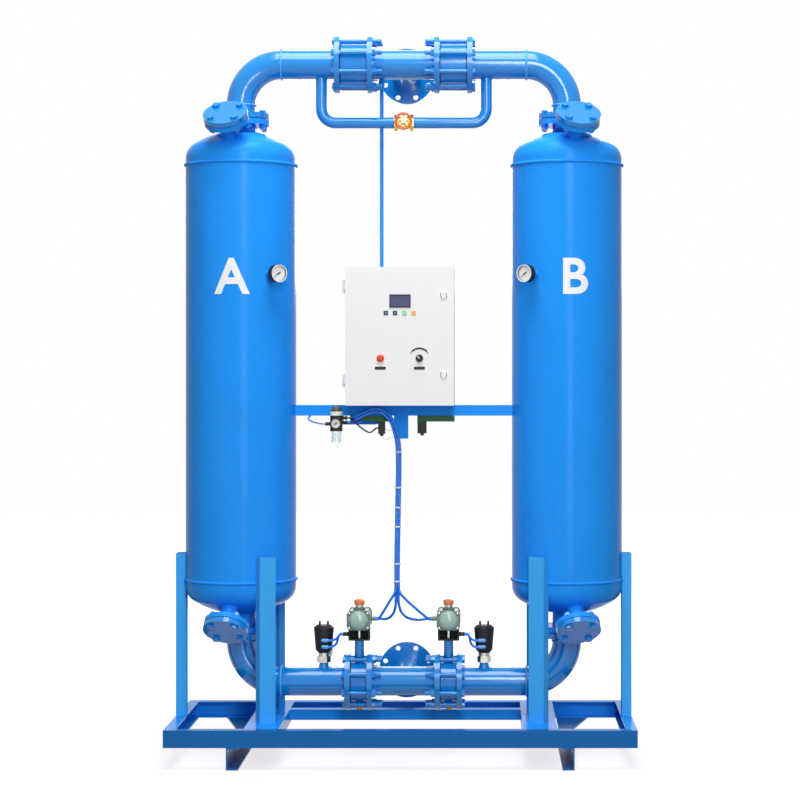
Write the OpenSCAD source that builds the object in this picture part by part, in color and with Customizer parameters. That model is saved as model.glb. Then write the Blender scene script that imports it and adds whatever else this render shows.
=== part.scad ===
// Twin-tower heatless desiccant air dryer on a steel skid.
// Origin on the floor under the middle of the skid, +X to tower B, -Y to the front.

/* [Skid] */
// Overall width of the skid
skid_w = 1700; // [1660:10:1760]
// Overall depth of the skid
skid_d = 730; // [700:10:800]
// Height of the rail channels
rail_h = 63; // [50:1:80]
// Flange width of the rail channels
rail_b = 40; // [34:1:46]
// Web thickness of the rail channels
rail_t = 5; // [4:0.5:7]
// Height of the runner channels under the rails
runner_h = 80; // [60:1:120]
// Flange width of the runner channels
runner_b = 43; // [36:1:60]
// Distance between the outer faces of the two runners
runner_span = 1248; // [1200:2:1300]
// Width of the flat cross-members that carry the inner legs
cross_w = 126; // [110:2:160]
// Depth of the cross-members below the top of the rails
cross_h = 53; // [40:1:60]
// Distance from each tower axis in to the middle of its cross-member
cross_in = 108; // [96:1:120]
// Leg width of the middle angle bar
angle_b = 40; // [30:1:50]
// Thickness of the angle bars
angle_t = 4; // [3:0.5:6]
// Distance of the middle angle bar behind the tower axes
middle_y = 126; // [60:2:200]
// Thickness of the corner gussets
gusset_t = 6; // [4:1:10]

/* [Towers] */
// Outside diameter of the shells
shell_d = 412; // [390:2:430]
// Wall thickness of the shells and heads
shell_t = 6; // [4:0.5:10]
// Length of the shell between its two seams
shell_len = 1546; // [1400:10:1800]
// Height of the lower seam above the top of the rails
tower_lift = 509; // [490:1:600]
// Straight skirt of the dished heads
head_skirt = 25; // [20:1:40]
// Crown radius of the dished heads as a share of the shell diameter
crown_share = 0.8; // [0.75:0.05:1]
// Knuckle radius of the dished heads as a share of the shell diameter
knuckle_share = 0.154; // [0.1:0.002:0.17]
// Height of the raised weld bead at the seams
bead_h = 2; // [1:0.5:4]
// Width of the weld bead at the seams
bead_w = 12; // [8:1:20]
// Height of the legs' upper ends above the lower seam
leg_over = 98; // [60:2:160]
// Radius of the legs' outer faces about the tower axis
leg_r = 240; // [238:1:246]

/* [Main pipework] */
// Outside diameter of the main pipes
pipe_d = 108; // [100:1:114]
// Wall thickness of the main pipes
pipe_t = 4; // [3:0.5:6]
// Centre-line radius of the main bends
bend_r = 152; // [140:1:160]
// Diameter of the main flanges
flange_d = 215; // [210:1:225]
// Thickness of the main flanges
flange_t = 20; // [16:1:24]
// Bolt circle of the main flanges
flange_pcd = 180; // [176:1:184]
// Diameter of the flange bolt holes
hole_d = 18; // [17:0.5:19]
// Thickness of the flange gaskets
gasket_t = 3; // [2:0.5:4]
// Height of the lower header above the top of the rails
lower_rise = 126; // [120:1:160]
// Height of the upper header above the upper seam
upper_rise = 378; // [370:1:420]
// Length of the vessel nozzle above the top head
top_neck = 40; // [34:1:60]
// Length of the vessel nozzle below the bottom head
bottom_neck = 63; // [50:1:80]
// Distance of the inlet and outlet flange faces behind the towers
branch_y = 330; // [280:5:360]
// Distance from the middle to each check valve
check_x = 186; // [180:1:220]
// Length of the check valve bodies
check_len = 96; // [84:1:110]
// Distance from the middle to each butterfly valve
butterfly_x = 167; // [160:1:190]
// Length of the butterfly valve bodies
butterfly_len = 56; // [52:1:70]
// Outside diameter of the wafer valve bodies
wafer_d = 152; // [140:1:158]

/* [Fill and drain ports] */
// Outside diameter of the port necks
port_d = 60; // [50:1:66]
// Wall thickness of the port necks
port_t = 4; // [3:0.5:6]
// Diameter of the port flanges and their blind covers
port_flange_d = 165; // [155:1:170]
// Thickness of the port flanges and their blind covers
port_flange_t = 18; // [14:1:22]
// Bolt circle of the port flanges
port_pcd = 125; // [115:1:128]
// Radius at which a port leaves its head
port_r = 146; // [138:1:148]
// Height of that point above the head's skirt
port_rise = 70; // [66:1:74]
// Length of a port from there to its flange face
port_len = 81; // [78:1:110]
// Slope of the ports from the level
port_slope = 53.5; // [45:0.5:65]
// Turn of the ports outward from the front
port_turn = 10; // [0:1:25]

/* [Fasteners] */
// Diameter of the flange bolts
bolt_d = 16; // [14:1:16]
// Width across flats of bolt heads and nuts
bolt_af = 24; // [22:1:26]
// Height of the bolt heads
bolt_head = 10; // [8:1:12]
// Height of the nuts
nut_h = 13; // [10:1:15]
// Length of bolt beyond a nut
bolt_tail = 6; // [3:1:10]
// Length of stud beyond a nut on the wafer valves
stud_tail = 22; // [8:1:30]

/* [Purge and instrument lines] */
// Outside diameter of the purge pipe
purge_d = 42; // [34:1:48]
// Wall thickness of the purge pipe
purge_t = 3.5; // [2.5:0.5:5]
// Distance from the middle to each purge riser
purge_x = 309; // [300:1:330]
// Distance of the purge run below the upper header
purge_drop = 217; // [180:1:240]
// Centre-line radius of the purge bends
purge_bend = 54; // [45:1:65]
// Diameter of the purge valve's handwheel
wheel_d = 66; // [56:1:76]
// Outside diameter of the instrument-air pipe
tap_d = 14; // [10:1:16]
// Distance of the instrument-air pipe left of the middle
tap_x = 86; // [80:1:100]
// Distance of the instrument-air pipe behind the headers
tap_y = 58; // [56:1:62]

/* [Valve actuators] */
// Diameter of the butterfly stems
stem_d = 16; // [12:1:18]
// Thickness of the butterfly discs
disc_t = 10; // [8:1:14]
// Height of the actuator axis above the lower header
actuator_rise = 234; // [226:1:250]
// Width of the actuator housings
actuator_w = 88; // [80:1:100]
// Height of the actuator housings
actuator_h = 72; // [66:1:80]
// Length of the actuator housings from front to back
actuator_len = 170; // [140:2:200]
// Diameter of the round end caps
end_cap_d = 72; // [64:1:76]
// Diameter of the position indicators
indicator_d = 40; // [34:1:48]
// Height of the position indicators
indicator_h = 22; // [16:1:30]

/* [Exhaust valves] */
// Distance from the middle to each exhaust valve
exhaust_x = 300; // [294:1:320]
// Diameter of the piston heads
head_d = 76; // [70:1:84]
// Height of the piston heads
head_h = 118; // [112:1:130]
// Lift of the exhaust plugs
plug_lift = 12; // [8:1:14]
// Diameter of the silencers
silencer_d = 44; // [38:1:50]
// Length of the silencers
silencer_len = 130; // [90:5:150]

/* [Control box] */
// Width of the control box
box_w = 400; // [380:2:440]
// Height of the control box
box_h = 508; // [480:2:560]
// Depth of the control box with its door
box_d = 200; // [160:2:220]
// Sheet thickness of the control box
box_t = 2; // [1.5:0.5:3]
// Offset of the control box from the middle
box_x = -10; // [-20:1:20]
// Thickness of the door pan
door_t = 18; // [14:1:24]
// Height of the box's seat above the top of the rails
beam_rise = 1160; // [1100:5:1250]
// Distance of the display's middle below the top of the box
display_drop = 125; // [110:1:160]
// Diameter of the lamp and the selector
control_d = 28; // [22:1:32]
// Height of the lamp and the selector above the bottom of the box
control_rise = 173; // [150:1:200]

/* [Gauges and regulator] */
// Diameter of the tower gauges
gauge_d = 64; // [56:1:70]
// Height of the tower gauges above the lower seam
gauge_rise = 1133; // [1000:5:1250]
// Turn of the tower gauges inward from the front
gauge_turn = 36; // [25:1:45]
// Distance of the gauge dials from the shell
gauge_reach = 76; // [70:1:90]
// Width of the filter-regulator
regulator_w = 44; // [40:1:50]
// Distance of the filter-regulator left of the middle
regulator_x = 250; // [245:1:270]

/* [Fits] */
// Gap at welded curved seats
seat = 0.2; // [0.1:0.05:0.4]
// Radial running clearance of stems and pins
running = 0.08; // [0.05:0.01:0.1]
// Clearance round moving pieces
clear = 0.5; // [0.4:0.1:1]

/* [Hidden] */
$fn = 48;
big = 4000;
skid_top = runner_h + rail_h;
tower_x = skid_w / 2 - leg_r;
cross_x = tower_x - cross_in;
seam_low = skid_top + tower_lift;
seam_high = seam_low + shell_len;
low_z = skid_top + lower_rise;
high_z = seam_high + upper_rise;
crown_r = shell_d * crown_share;
knuckle_r = shell_d * knuckle_share;
dish = crown_r - sqrt(pow(crown_r - knuckle_r, 2) - pow(shell_d / 2 - knuckle_r, 2));
apex_low = seam_low - head_skirt - dish;
apex_high = seam_high + head_skirt + dish;
bottom_face = apex_low - bottom_neck;
top_face = apex_high + top_neck;
bore_d = pipe_d - 2 * pipe_t;
leg_angles = [0, 120, 240];
flange_count = 8;
port_count = 4;
leg_top = seam_low + leg_over;
beam_z = skid_top + beam_rise;
box_back = angle_b / 2;
box_front = box_back - box_d;
blue = "#2489F0";
steel = "#B8BCC0";
black = "#1C1E20";
brass = "#C9A24A";

// Ring about the Z axis
module tube(outer, inner, length) {
    difference() {
        cylinder(d = outer, h = length);
        translate([0, 0, -1]) cylinder(d = inner, h = length + 2);
    }
}

// Children spaced evenly round the Z axis, straddling the centre lines
module round_pattern(count, pcd) {
    for (i = [0 : count - 1])
        rotate([0, 0, (i + 0.5) * 360 / count]) translate([pcd / 2, 0, 0]) children();
}

// Children with their Z axis turned along +X, at a distance from the middle
module along_x(x, z) {
    translate([x, 0, z]) rotate([0, 90, 0]) children();
}

// Both mirror halves
module both_sides() {
    children();
    mirror([1, 0, 0]) children();
}

// Plate flange about the Z axis with its bolt holes
module flange(d, t, bore, pcd, count) {
    difference() {
        cylinder(d = d, h = t);
        translate([0, 0, -1]) cylinder(d = bore, h = t + 2);
        round_pattern(count, pcd) translate([0, 0, -1]) cylinder(d = hole_d, h = t + 2);
    }
}

// Main pipe flange
module main_flange() {
    flange(flange_d, flange_t, bore_d, flange_pcd, flange_count);
}

// Hexagon about the Z axis
module hexagon(af, h) {
    cylinder(d = af / cos(30), h = h, $fn = 6);
}

// Bolt clamping from z = 0 up to grip, head below and nut above
module bolt(grip, tail) {
    translate([0, 0, -bolt_head]) hexagon(bolt_af, bolt_head);
    cylinder(d = bolt_d, h = grip + nut_h + tail);
    translate([0, 0, grip]) hexagon(bolt_af, nut_h);
}

// Channel section, web along the Y axis and flanges towards +X
module channel_outline(b, h, t) {
    difference() {
        square([b, h]);
        translate([t, t]) square([b, h - 2 * t]);
    }
}

// Angle bar along X, upright leg in front and level leg on top, corner at the origin
module angle_bar(length, b, t) {
    translate([-length / 2, 0, 0]) rotate([90, 0, 90]) linear_extrude(length) difference() {
        translate([0, -b]) square([b, b]);
        translate([t, -b - t]) square([b, b]);
    }
}

// Skid rail along X with mitred ends, web outside at y = 0
module rail(length) {
    color(blue) intersection() {
        translate([-length / 2, 0, 0]) rotate([90, 0, 90])
            linear_extrude(length) channel_outline(rail_b, rail_h, rail_t);
        linear_extrude(rail_h) polygon([
            [-length / 2, 0], [length / 2, 0],
            [length / 2 - rail_b, rail_b], [-length / 2 + rail_b, rail_b]]);
    }
}

module front_rail() {
    translate([0, -skid_d / 2, runner_h]) rail(skid_w);
}

module rear_rail() {
    rotate([0, 0, 180]) front_rail();
}

module end_rails() {
    both_sides() translate([-skid_w / 2, 0, runner_h]) rotate([0, 0, -90]) rail(skid_d);
}

module cross_members() {
    length = skid_d - 2 * rail_b;
    color(blue) both_sides() translate([cross_x - cross_w / 2, length / 2, skid_top])
        rotate([90, 90, 0]) linear_extrude(length) channel_outline(cross_h, cross_w, rail_t);
}

module middle_rail() {
    color(blue) translate([0, middle_y, skid_top])
        angle_bar(2 * cross_x - cross_w, angle_b, angle_t);
}

// Tapered plates under the rear rail, against the outer faces of the runners
module corner_gussets() {
    width = 83;
    length = 345;
    color(blue) both_sides() translate([runner_span / 2, skid_d / 2, runner_h - gusset_t])
        linear_extrude(gusset_t) polygon([[0, 0], [width, 0], [0, -length]]);
}

module runners() {
    color(blue) both_sides() translate([-runner_span / 2, skid_d / 2, 0])
        rotate([90, 0, 0]) linear_extrude(skid_d) channel_outline(runner_b, runner_h, rail_t);
}

// Half outline of a dished end above y = 0
module dish_outline(r, crown, knuckle) {
    sink = sqrt(pow(crown - knuckle, 2) - pow(r - knuckle, 2));
    spread = asin((r - knuckle) / (crown - knuckle));
    intersection() {
        translate([r - knuckle, 0]) circle(knuckle);
        square([r, knuckle]);
    }
    intersection() {
        translate([0, -sink]) circle(crown);
        polygon([[0, 0], [r - knuckle, 0],
                 [crown * sin(spread), crown * cos(spread) - sink], [0, crown]]);
    }
}

// Half outline of a whole vessel, grown inward by a wall
module vessel_outline(wall) {
    r = shell_d / 2 - wall;
    translate([0, seam_low - head_skirt]) square([r, shell_len + 2 * head_skirt]);
    translate([0, seam_high + head_skirt]) dish_outline(r, crown_r - wall, knuckle_r - wall);
    translate([0, seam_low - head_skirt]) mirror([0, 1])
        dish_outline(r, crown_r - wall, knuckle_r - wall);
}

// Children in the frame of the fill port (up) or drain port of tower B
module at_port(up) {
    level = up ? seam_high + head_skirt + port_rise : seam_low - head_skirt - port_rise;
    translate([tower_x, 0, level]) rotate([0, 0, port_turn]) translate([0, -port_r, 0])
        mirror([0, 0, up ? 0 : 1]) rotate([90 - port_slope, 0, 0]) children();
}

// Weld bead ring about the Z axis
module bead(r) {
    swell = (bead_w * bead_w / 4 + bead_h * bead_h) / (2 * bead_h);
    rotate_extrude() translate([r + bead_h - swell, 0]) circle(swell);
}

// Shell and heads of tower B with the nozzles on its axis
module shell() {
    difference() {
        union() {
            rotate_extrude() vessel_outline(0);
            for (z = [seam_low, seam_high]) translate([0, 0, z]) bead(shell_d / 2);
            translate([0, 0, bottom_face]) cylinder(d = pipe_d, h = top_face - bottom_face);
            translate([0, 0, top_face - flange_t]) cylinder(d = flange_d, h = flange_t);
            translate([0, 0, bottom_face]) cylinder(d = flange_d, h = flange_t);
        }
        rotate_extrude() vessel_outline(shell_t);
        translate([0, 0, bottom_face - 1]) cylinder(d = bore_d, h = top_face - bottom_face + 2);
        round_pattern(flange_count, flange_pcd) {
            translate([0, 0, top_face - flange_t - 1]) cylinder(d = hole_d, h = flange_t + 2);
            translate([0, 0, bottom_face - 1]) cylinder(d = hole_d, h = flange_t + 2);
        }
    }
}

// Inclined port set on a head of tower B: neck coped to the head, and flange
module port(up) {
    root = port_d / 2;
    difference() {
        at_port(up) difference() {
            union() {
                translate([0, 0, -root]) cylinder(d = port_d, h = root + port_len);
                translate([0, 0, port_len - port_flange_t])
                    cylinder(d = port_flange_d, h = port_flange_t);
            }
            translate([0, 0, -root - 1]) cylinder(d = port_d - 2 * port_t, h = root + port_len + 2);
            round_pattern(port_count, port_pcd) translate([0, 0, port_len - port_flange_t - 1])
                cylinder(d = hole_d, h = port_flange_t + 2);
        }
        translate([tower_x, 0, 0]) rotate_extrude() vessel_outline(-seat);
    }
}

// Welded vessel of tower B
module vessel() {
    root = knuckle_r;
    color(blue) {
        difference() {
            translate([tower_x, 0, 0]) shell();
            for (up = [true, false]) at_port(up)
                translate([0, 0, -root]) cylinder(d = port_d - 2 * port_t, h = root + port_len / 2);
        }
        for (up = [true, false]) port(up);
    }
}

module tower_a_vessel() {
    mirror([1, 0, 0]) vessel();
}

module tower_b_vessel() {
    vessel();
}

// Channel leg at one angle of tower B, coped to the shell and its seam bead
module leg(angle) {
    translate([tower_x, 0, 0]) difference() {
        rotate([0, 0, angle]) translate([leg_r, -rail_h / 2, skid_top])
            linear_extrude(leg_top - skid_top) mirror([1, 0]) channel_outline(rail_b, rail_h, rail_t);
        cylinder(d = shell_d + 2 * seat, h = big);
        translate([0, 0, seam_low - bead_w])
            cylinder(d = shell_d + 2 * bead_h + 2 * seat, h = 2 * bead_w);
    }
}

module tower_legs() {
    color(blue) both_sides() for (angle = leg_angles) leg(angle);
}

inner_d = shell_d - 2 * shell_t;
screen_t = 8;
bed_bottom = seam_low + 12;
bed_top = seam_high - 60;

module desiccant_beds() {
    color("#E8E2D0") both_sides() translate([tower_x, 0, bed_bottom])
        cylinder(d = inner_d - 2 * seat, h = bed_top - bed_bottom);
}

// Perforated plates under and over each bed
module bed_screens() {
    rings = [[8, 0.3], [14, 0.6], [20, 0.85]];
    perforation_d = 14;
    color(steel) both_sides() for (z = [bed_bottom - screen_t, bed_top])
        translate([tower_x, 0, z]) difference() {
            cylinder(d = inner_d - 2 * seat, h = screen_t);
            for (ring = rings) round_pattern(ring[0], ring[1] * inner_d)
                translate([0, 0, -1]) cylinder(d = perforation_d, h = screen_t + 2);
        }
}

module port_covers() {
    color(blue) both_sides() for (up = [true, false]) at_port(up)
        translate([0, 0, port_len + gasket_t]) difference() {
            cylinder(d = port_flange_d, h = port_flange_t);
            round_pattern(port_count, port_pcd) translate([0, 0, -1])
                cylinder(d = hole_d, h = port_flange_t + 2);
        }
}

// Flange faces of the wafer valves, measured from the middle
check_inner = check_x - check_len / 2 - gasket_t;
check_outer = check_x + check_len / 2 + gasket_t;
butterfly_inner = butterfly_x - butterfly_len / 2 - gasket_t;
butterfly_outer = butterfly_x + butterfly_len / 2 + gasket_t;

module flange_gaskets() {
    gasket_d = flange_pcd - hole_d - 2;
    color("#3A3D42") both_sides() {
        for (up = [true, false]) at_port(up) translate([0, 0, port_len])
            tube(port_pcd - hole_d - 2, port_d - 2 * port_t, gasket_t);
        for (z = [top_face, bottom_face - gasket_t]) translate([tower_x, 0, z])
            tube(gasket_d, bore_d, gasket_t);
        for (x = [check_inner, check_outer - gasket_t]) along_x(x, high_z)
            tube(wafer_d, bore_d, gasket_t);
        for (x = [butterfly_inner, butterfly_outer - gasket_t]) along_x(x, low_z)
            tube(wafer_d, bore_d, gasket_t);
    }
}

module flange_bolts() {
    port_grip = 2 * port_flange_t + gasket_t;
    main_grip = 2 * flange_t + gasket_t;
    color(blue) both_sides() {
        for (up = [true, false]) at_port(up)
            round_pattern(port_count, port_pcd)
                translate([0, 0, port_len + gasket_t + port_flange_t]) mirror([0, 0, 1])
                    bolt(port_grip, bolt_tail);
        translate([tower_x, 0, 0]) round_pattern(flange_count, flange_pcd) {
            translate([0, 0, top_face + gasket_t + flange_t]) mirror([0, 0, 1])
                bolt(main_grip, bolt_tail);
            translate([0, 0, bottom_face - gasket_t - flange_t]) bolt(main_grip, bolt_tail);
        }
    }
}

// Long bolts through each wafer valve, nuts towards the middle
module valve_studs() {
    color(steel) both_sides() {
        translate([check_outer + flange_t, 0, high_z]) rotate([0, -90, 0])
            round_pattern(flange_count, flange_pcd)
                bolt(check_outer - check_inner + 2 * flange_t, stud_tail);
        translate([butterfly_outer + flange_t, 0, low_z]) rotate([0, -90, 0])
            round_pattern(flange_count, flange_pcd)
                bolt(butterfly_outer - butterfly_inner + 2 * flange_t, stud_tail);
    }
}

// Bend of tower B with its two flanges, header on the level z = 0 and flange face at -reach
module header_bend(reach, x_end) {
    translate([tower_x, 0, -reach]) main_flange();
    translate([tower_x, 0, -reach + flange_t]) tube(pipe_d, bore_d, reach - bend_r - flange_t);
    translate([tower_x - bend_r, 0, -bend_r]) rotate([90, 0, 0])
        rotate_extrude(angle = 90) translate([bend_r, 0]) difference() {
            circle(d = pipe_d);
            circle(d = bore_d);
        }
    along_x(x_end + flange_t, 0) tube(pipe_d, bore_d, tower_x - bend_r - x_end - flange_t);
    along_x(x_end, 0) main_flange();
}

module outlet_bend() {
    color(blue) translate([0, 0, high_z]) header_bend(high_z - top_face - gasket_t, check_outer);
}

module outlet_bend_a() {
    mirror([1, 0, 0]) outlet_bend();
}

module outlet_bend_b() {
    outlet_bend();
}

// Tee between two wafer valves with a flanged branch to the back, set in by a small step
branch_step = 1;
branch_bore = bore_d - 2 * branch_step;

module header_tee(face, level) {
    color(blue) translate([0, 0, level]) difference() {
        union() {
            along_x(-face, 0) cylinder(d = pipe_d, h = 2 * face);
            along_x(-face, 0) cylinder(d = flange_d, h = flange_t);
            along_x(face - flange_t, 0) cylinder(d = flange_d, h = flange_t);
            rotate([-90, 0, 0]) cylinder(d = pipe_d - 2 * branch_step, h = branch_y);
            translate([0, branch_y - flange_t, 0]) rotate([-90, 0, 0])
                cylinder(d = flange_d, h = flange_t);
        }
        along_x(-face - 1, 0) cylinder(d = bore_d, h = 2 * face + 2);
        rotate([-90, 0, 0]) cylinder(d = branch_bore, h = branch_y + 1);
        for (x = [-face, face - flange_t]) along_x(x, 0)
            round_pattern(flange_count, flange_pcd) translate([0, 0, -1])
                cylinder(d = hole_d, h = flange_t + 2);
        translate([0, branch_y - flange_t, 0]) rotate([-90, 0, 0])
            round_pattern(flange_count, flange_pcd) translate([0, 0, -1])
                cylinder(d = hole_d, h = flange_t + 2);
    }
}

module outlet_tee() {
    header_tee(check_inner, high_z);
}

// Check valve: seat on the tower side, stem guide towards the middle
check_seat_d = 84;
check_seat_len = 24;
check_chamber_d = 128;
check_disc_d = 104;
check_disc_t = 10;
check_travel = 18;
guide_d = 30;
guide_len = 24;
guide_stem_d = 14;
guide_web = 10;

// Body about the Z axis, inlet at the top end, guide at the bottom end
module check_body() {
    difference() {
        cylinder(d = wafer_d, h = check_len);
        translate([0, 0, -1]) cylinder(d = bore_d, h = guide_len + 2);
        translate([0, 0, guide_len]) cylinder(d = check_chamber_d,
            h = check_len - guide_len - check_seat_len);
        cylinder(d = check_seat_d, h = check_len + 1);
    }
    difference() {
        union() {
            cylinder(d = guide_d, h = guide_len);
            for (i = [0 : 2]) rotate([0, 0, i * 120])
                translate([0, -guide_web / 2, 0]) cube([bore_d / 2 + 2, guide_web, guide_len]);
        }
        translate([0, 0, -1]) cylinder(d = guide_stem_d + 2 * running, h = guide_len + 2);
    }
}

module at_check_valve() {
    along_x(check_x - check_len / 2, high_z) children();
}

module check_bodies() {
    color(blue) both_sides() at_check_valve() check_body();
}

// Disc resting just under its seat, with the stem down through the guide
module check_disc() {
    face = check_len - check_seat_len - clear / 2;
    color(steel) at_check_valve() {
        translate([0, 0, face - check_disc_t]) cylinder(d = check_disc_d, h = check_disc_t);
        translate([0, 0, check_travel + 1])
            cylinder(d = guide_stem_d, h = face - check_travel - 2);
    }
}

module check_disc_a() {
    mirror([1, 0, 0]) check_disc();
}

module check_disc_b() {
    check_disc();
}

run_z = high_z - purge_drop;
purge_end = 36;

// Purge run of tower B from the header down and in to the valve
module purge_run(d) {
    translate([purge_x, 0, run_z + purge_bend]) cylinder(d = d, h = purge_drop - purge_bend);
    translate([purge_x - purge_bend, 0, run_z + purge_bend]) mirror([0, 0, 1]) rotate([90, 0, 0])
        rotate_extrude(angle = 90) translate([purge_bend, 0]) circle(d = d);
    along_x(purge_end, run_z) cylinder(d = d, h = purge_x - purge_bend - purge_end);
}

module purge_pipes() {
    color(blue) both_sides() difference() {
        purge_run(purge_d);
        purge_run(purge_d - 2 * purge_t);
        along_x(0, high_z) cylinder(d = pipe_d + 2 * seat, h = tower_x);
    }
}

// Purge gate valve with its bonnet to the front
bonnet_len = 44;
spindle_d = 10;
wheel_y = 62;

module purge_valve_body() {
    hex_af = 52;
    hex_len = 14;
    waist_d = 46;
    bonnet_d = 30;
    collar_af = 34;
    collar_len = 12;
    color(brass) translate([0, 0, run_z]) difference() {
        union() {
            along_x(-purge_end, 0) hexagon(hex_af, hex_len);
            along_x(purge_end - hex_len, 0) hexagon(hex_af, hex_len);
            along_x(-purge_end + hex_len, 0) cylinder(d = waist_d, h = 2 * (purge_end - hex_len));
            rotate([90, 0, 0]) cylinder(d = bonnet_d, h = bonnet_len);
            rotate([90, 0, 0]) translate([0, 0, bonnet_len - collar_len - 4])
                hexagon(collar_af, collar_len);
        }
        along_x(-purge_end - 1, 0) cylinder(d = purge_d - 2 * purge_t, h = 2 * purge_end + 2);
        rotate([90, 0, 0]) cylinder(d = spindle_d + 2 * running, h = bonnet_len + 1);
    }
}

module purge_handwheel() {
    rim_d = 9;
    hub_d = 18;
    hub_len = 12;
    spokes = 5;
    rim_r = (wheel_d - rim_d) / 2;
    color("#D8402A") translate([0, 0, run_z]) rotate([90, 0, 0]) {
        translate([0, 0, purge_d / 2]) cylinder(d = spindle_d, h = wheel_y - purge_d / 2 + hub_len / 2);
        translate([0, 0, wheel_y - hub_len / 2]) cylinder(d = hub_d, h = hub_len);
        translate([0, 0, wheel_y]) rotate_extrude() translate([rim_r, 0]) circle(d = rim_d);
        for (i = [0 : spokes - 1]) rotate([0, 0, 90 + i * 360 / spokes])
            translate([0, 0, wheel_y]) rotate([0, 90, 0]) cylinder(d = 6, h = rim_r);
    }
}

// Instrument-air pipe from under the outlet tee to the back of the regulator
regulator_z = beam_z - 68;
regulator_y = -angle_b / 2 - regulator_w / 2 - 5;
tap_bend = 28;

module tap_corner() {
    rotate_extrude(angle = 90) translate([tap_bend, 0]) circle(d = tap_d);
}

module instrument_pipe() {
    fall = high_z - tap_y - regulator_z - tap_bend;
    across = regulator_x - tap_x - 2 * tap_bend;
    back = regulator_y + regulator_w / 2;
    nut_d = 20;
    nut_len = 26;
    color(blue) difference() {
        union() {
            translate([-tap_x, tap_y, regulator_z + tap_bend]) cylinder(d = tap_d, h = fall);
            translate([-tap_x, 0, high_z]) rotate([-135, 0, 0])
                cylinder(d = nut_d, h = tap_y * sqrt(2));
            translate([-tap_x, tap_y, high_z - tap_y]) sphere(d = nut_d + 4);
            translate([-tap_x, tap_y, high_z - tap_y - nut_len]) cylinder(d = nut_d, h = nut_len);
            translate([-tap_x - tap_bend, tap_y, regulator_z + tap_bend])
                mirror([0, 0, 1]) rotate([90, 0, 0]) tap_corner();
            translate([-regulator_x + tap_bend, tap_y, regulator_z]) rotate([0, 90, 0])
                cylinder(d = tap_d, h = across);
            translate([-regulator_x + tap_bend, tap_y - tap_bend, regulator_z])
                rotate([0, 0, 90]) tap_corner();
            translate([-regulator_x, back, regulator_z]) rotate([-90, 0, 0])
                cylinder(d = tap_d, h = tap_y - tap_bend - back);
        }
        along_x(-tower_x, high_z) cylinder(d = pipe_d + 2 * seat, h = tower_x);
    }
}

// Lower header
socket_h = 17;
socket_d = 32;
exhaust_bore = 22;
exhaust_seat_z = low_z + pipe_d / 2 + socket_h;

// Bend of tower B with the conical socket for its exhaust valve
module inlet_bend() {
    root = pipe_d * 0.42;
    flare = 5;
    color(blue) difference() {
        union() {
            translate([0, 0, low_z]) rotate([180, 0, 0])
                header_bend(bottom_face - gasket_t - low_z, butterfly_outer);
            difference() {
                translate([exhaust_x, 0, low_z + root])
                    cylinder(d1 = socket_d + 2 * flare, d2 = socket_d, h = pipe_d / 2 + socket_h - root);
                along_x(butterfly_outer, low_z) cylinder(d = pipe_d - pipe_t, h = 2 * exhaust_x);
            }
        }
        translate([exhaust_x, 0, low_z]) cylinder(d = exhaust_bore, h = pipe_d);
    }
}

module inlet_bend_a() {
    mirror([1, 0, 0]) inlet_bend();
}

module inlet_bend_b() {
    inlet_bend();
}

module inlet_tee() {
    header_tee(butterfly_inner, low_z);
}

// Butterfly valve
neck_d = 36;
neck_top = 154;
foot_d = 32;
foot_len = 20;
seal_plug_d = 19;
seal_plug_len = 10;
hub_d = 24;
trunnion = wafer_d / 2 - 8;
housing_bottom = actuator_rise - actuator_h / 2;
housing_top = actuator_rise + actuator_h / 2;
pad_h = 7;
indicator_gap = 8;
indicator_base = housing_top + pad_h + indicator_gap;

module at_butterfly() {
    translate([butterfly_x, 0, low_z]) children();
}

module butterfly_bodies() {
    color(blue) both_sides() at_butterfly() difference() {
        union() {
            along_x(-butterfly_len / 2, 0) cylinder(d = wafer_d, h = butterfly_len);
            cylinder(d = neck_d, h = neck_top);
            mirror([0, 0, 1]) cylinder(d = foot_d, h = wafer_d / 2 + foot_len);
            mirror([0, 0, 1]) cylinder(d = seal_plug_d, h = wafer_d / 2 + foot_len + seal_plug_len);
        }
        along_x(-butterfly_len, 0) cylinder(d = bore_d, h = 2 * butterfly_len);
        translate([0, 0, -trunnion - 1]) cylinder(d = stem_d + 2 * running, h = trunnion + neck_top + 2);
    }
}

// Disc shut across the bore, with its stem up through the actuator
module butterfly_disc() {
    sweep_d = sqrt(pow(bore_d - 2 * clear, 2) - disc_t * disc_t);
    hub_h = sqrt(pow(bore_d / 2, 2) - pow(hub_d / 2, 2)) - 2 * clear;
    base_d = 30;
    color(steel) at_butterfly() {
        along_x(-disc_t / 2, 0) cylinder(d = sweep_d, h = disc_t);
        translate([0, 0, -hub_h]) cylinder(d = hub_d, h = 2 * hub_h);
        translate([0, 0, -trunnion]) cylinder(d = stem_d, h = trunnion + indicator_base);
        translate([0, 0, housing_top + pad_h + clear])
            cylinder(d = base_d, h = indicator_gap - clear);
    }
}

module butterfly_disc_a() {
    mirror([1, 0, 0]) butterfly_disc();
}

module butterfly_disc_b() {
    butterfly_disc();
}

// Turned cap with a raised pointer rib
module indicator() {
    rib_w = 8;
    color("#F08A28") at_butterfly() translate([0, 0, indicator_base]) {
        cylinder(d1 = indicator_d - 4, d2 = indicator_d, h = indicator_h * 0.35);
        translate([0, 0, indicator_h * 0.35]) cylinder(d = indicator_d, h = indicator_h * 0.45);
        translate([0, 0, indicator_h * 0.8])
            cylinder(d1 = indicator_d, d2 = indicator_d * 0.6, h = indicator_h * 0.2);
        translate([-rib_w / 2, -indicator_d * 0.4, indicator_h * 0.8])
            cube([rib_w, indicator_d * 0.8, indicator_h * 0.2]);
    }
}

module indicator_a() {
    mirror([1, 0, 0]) indicator();
}

module indicator_b() {
    indicator();
}

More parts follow.
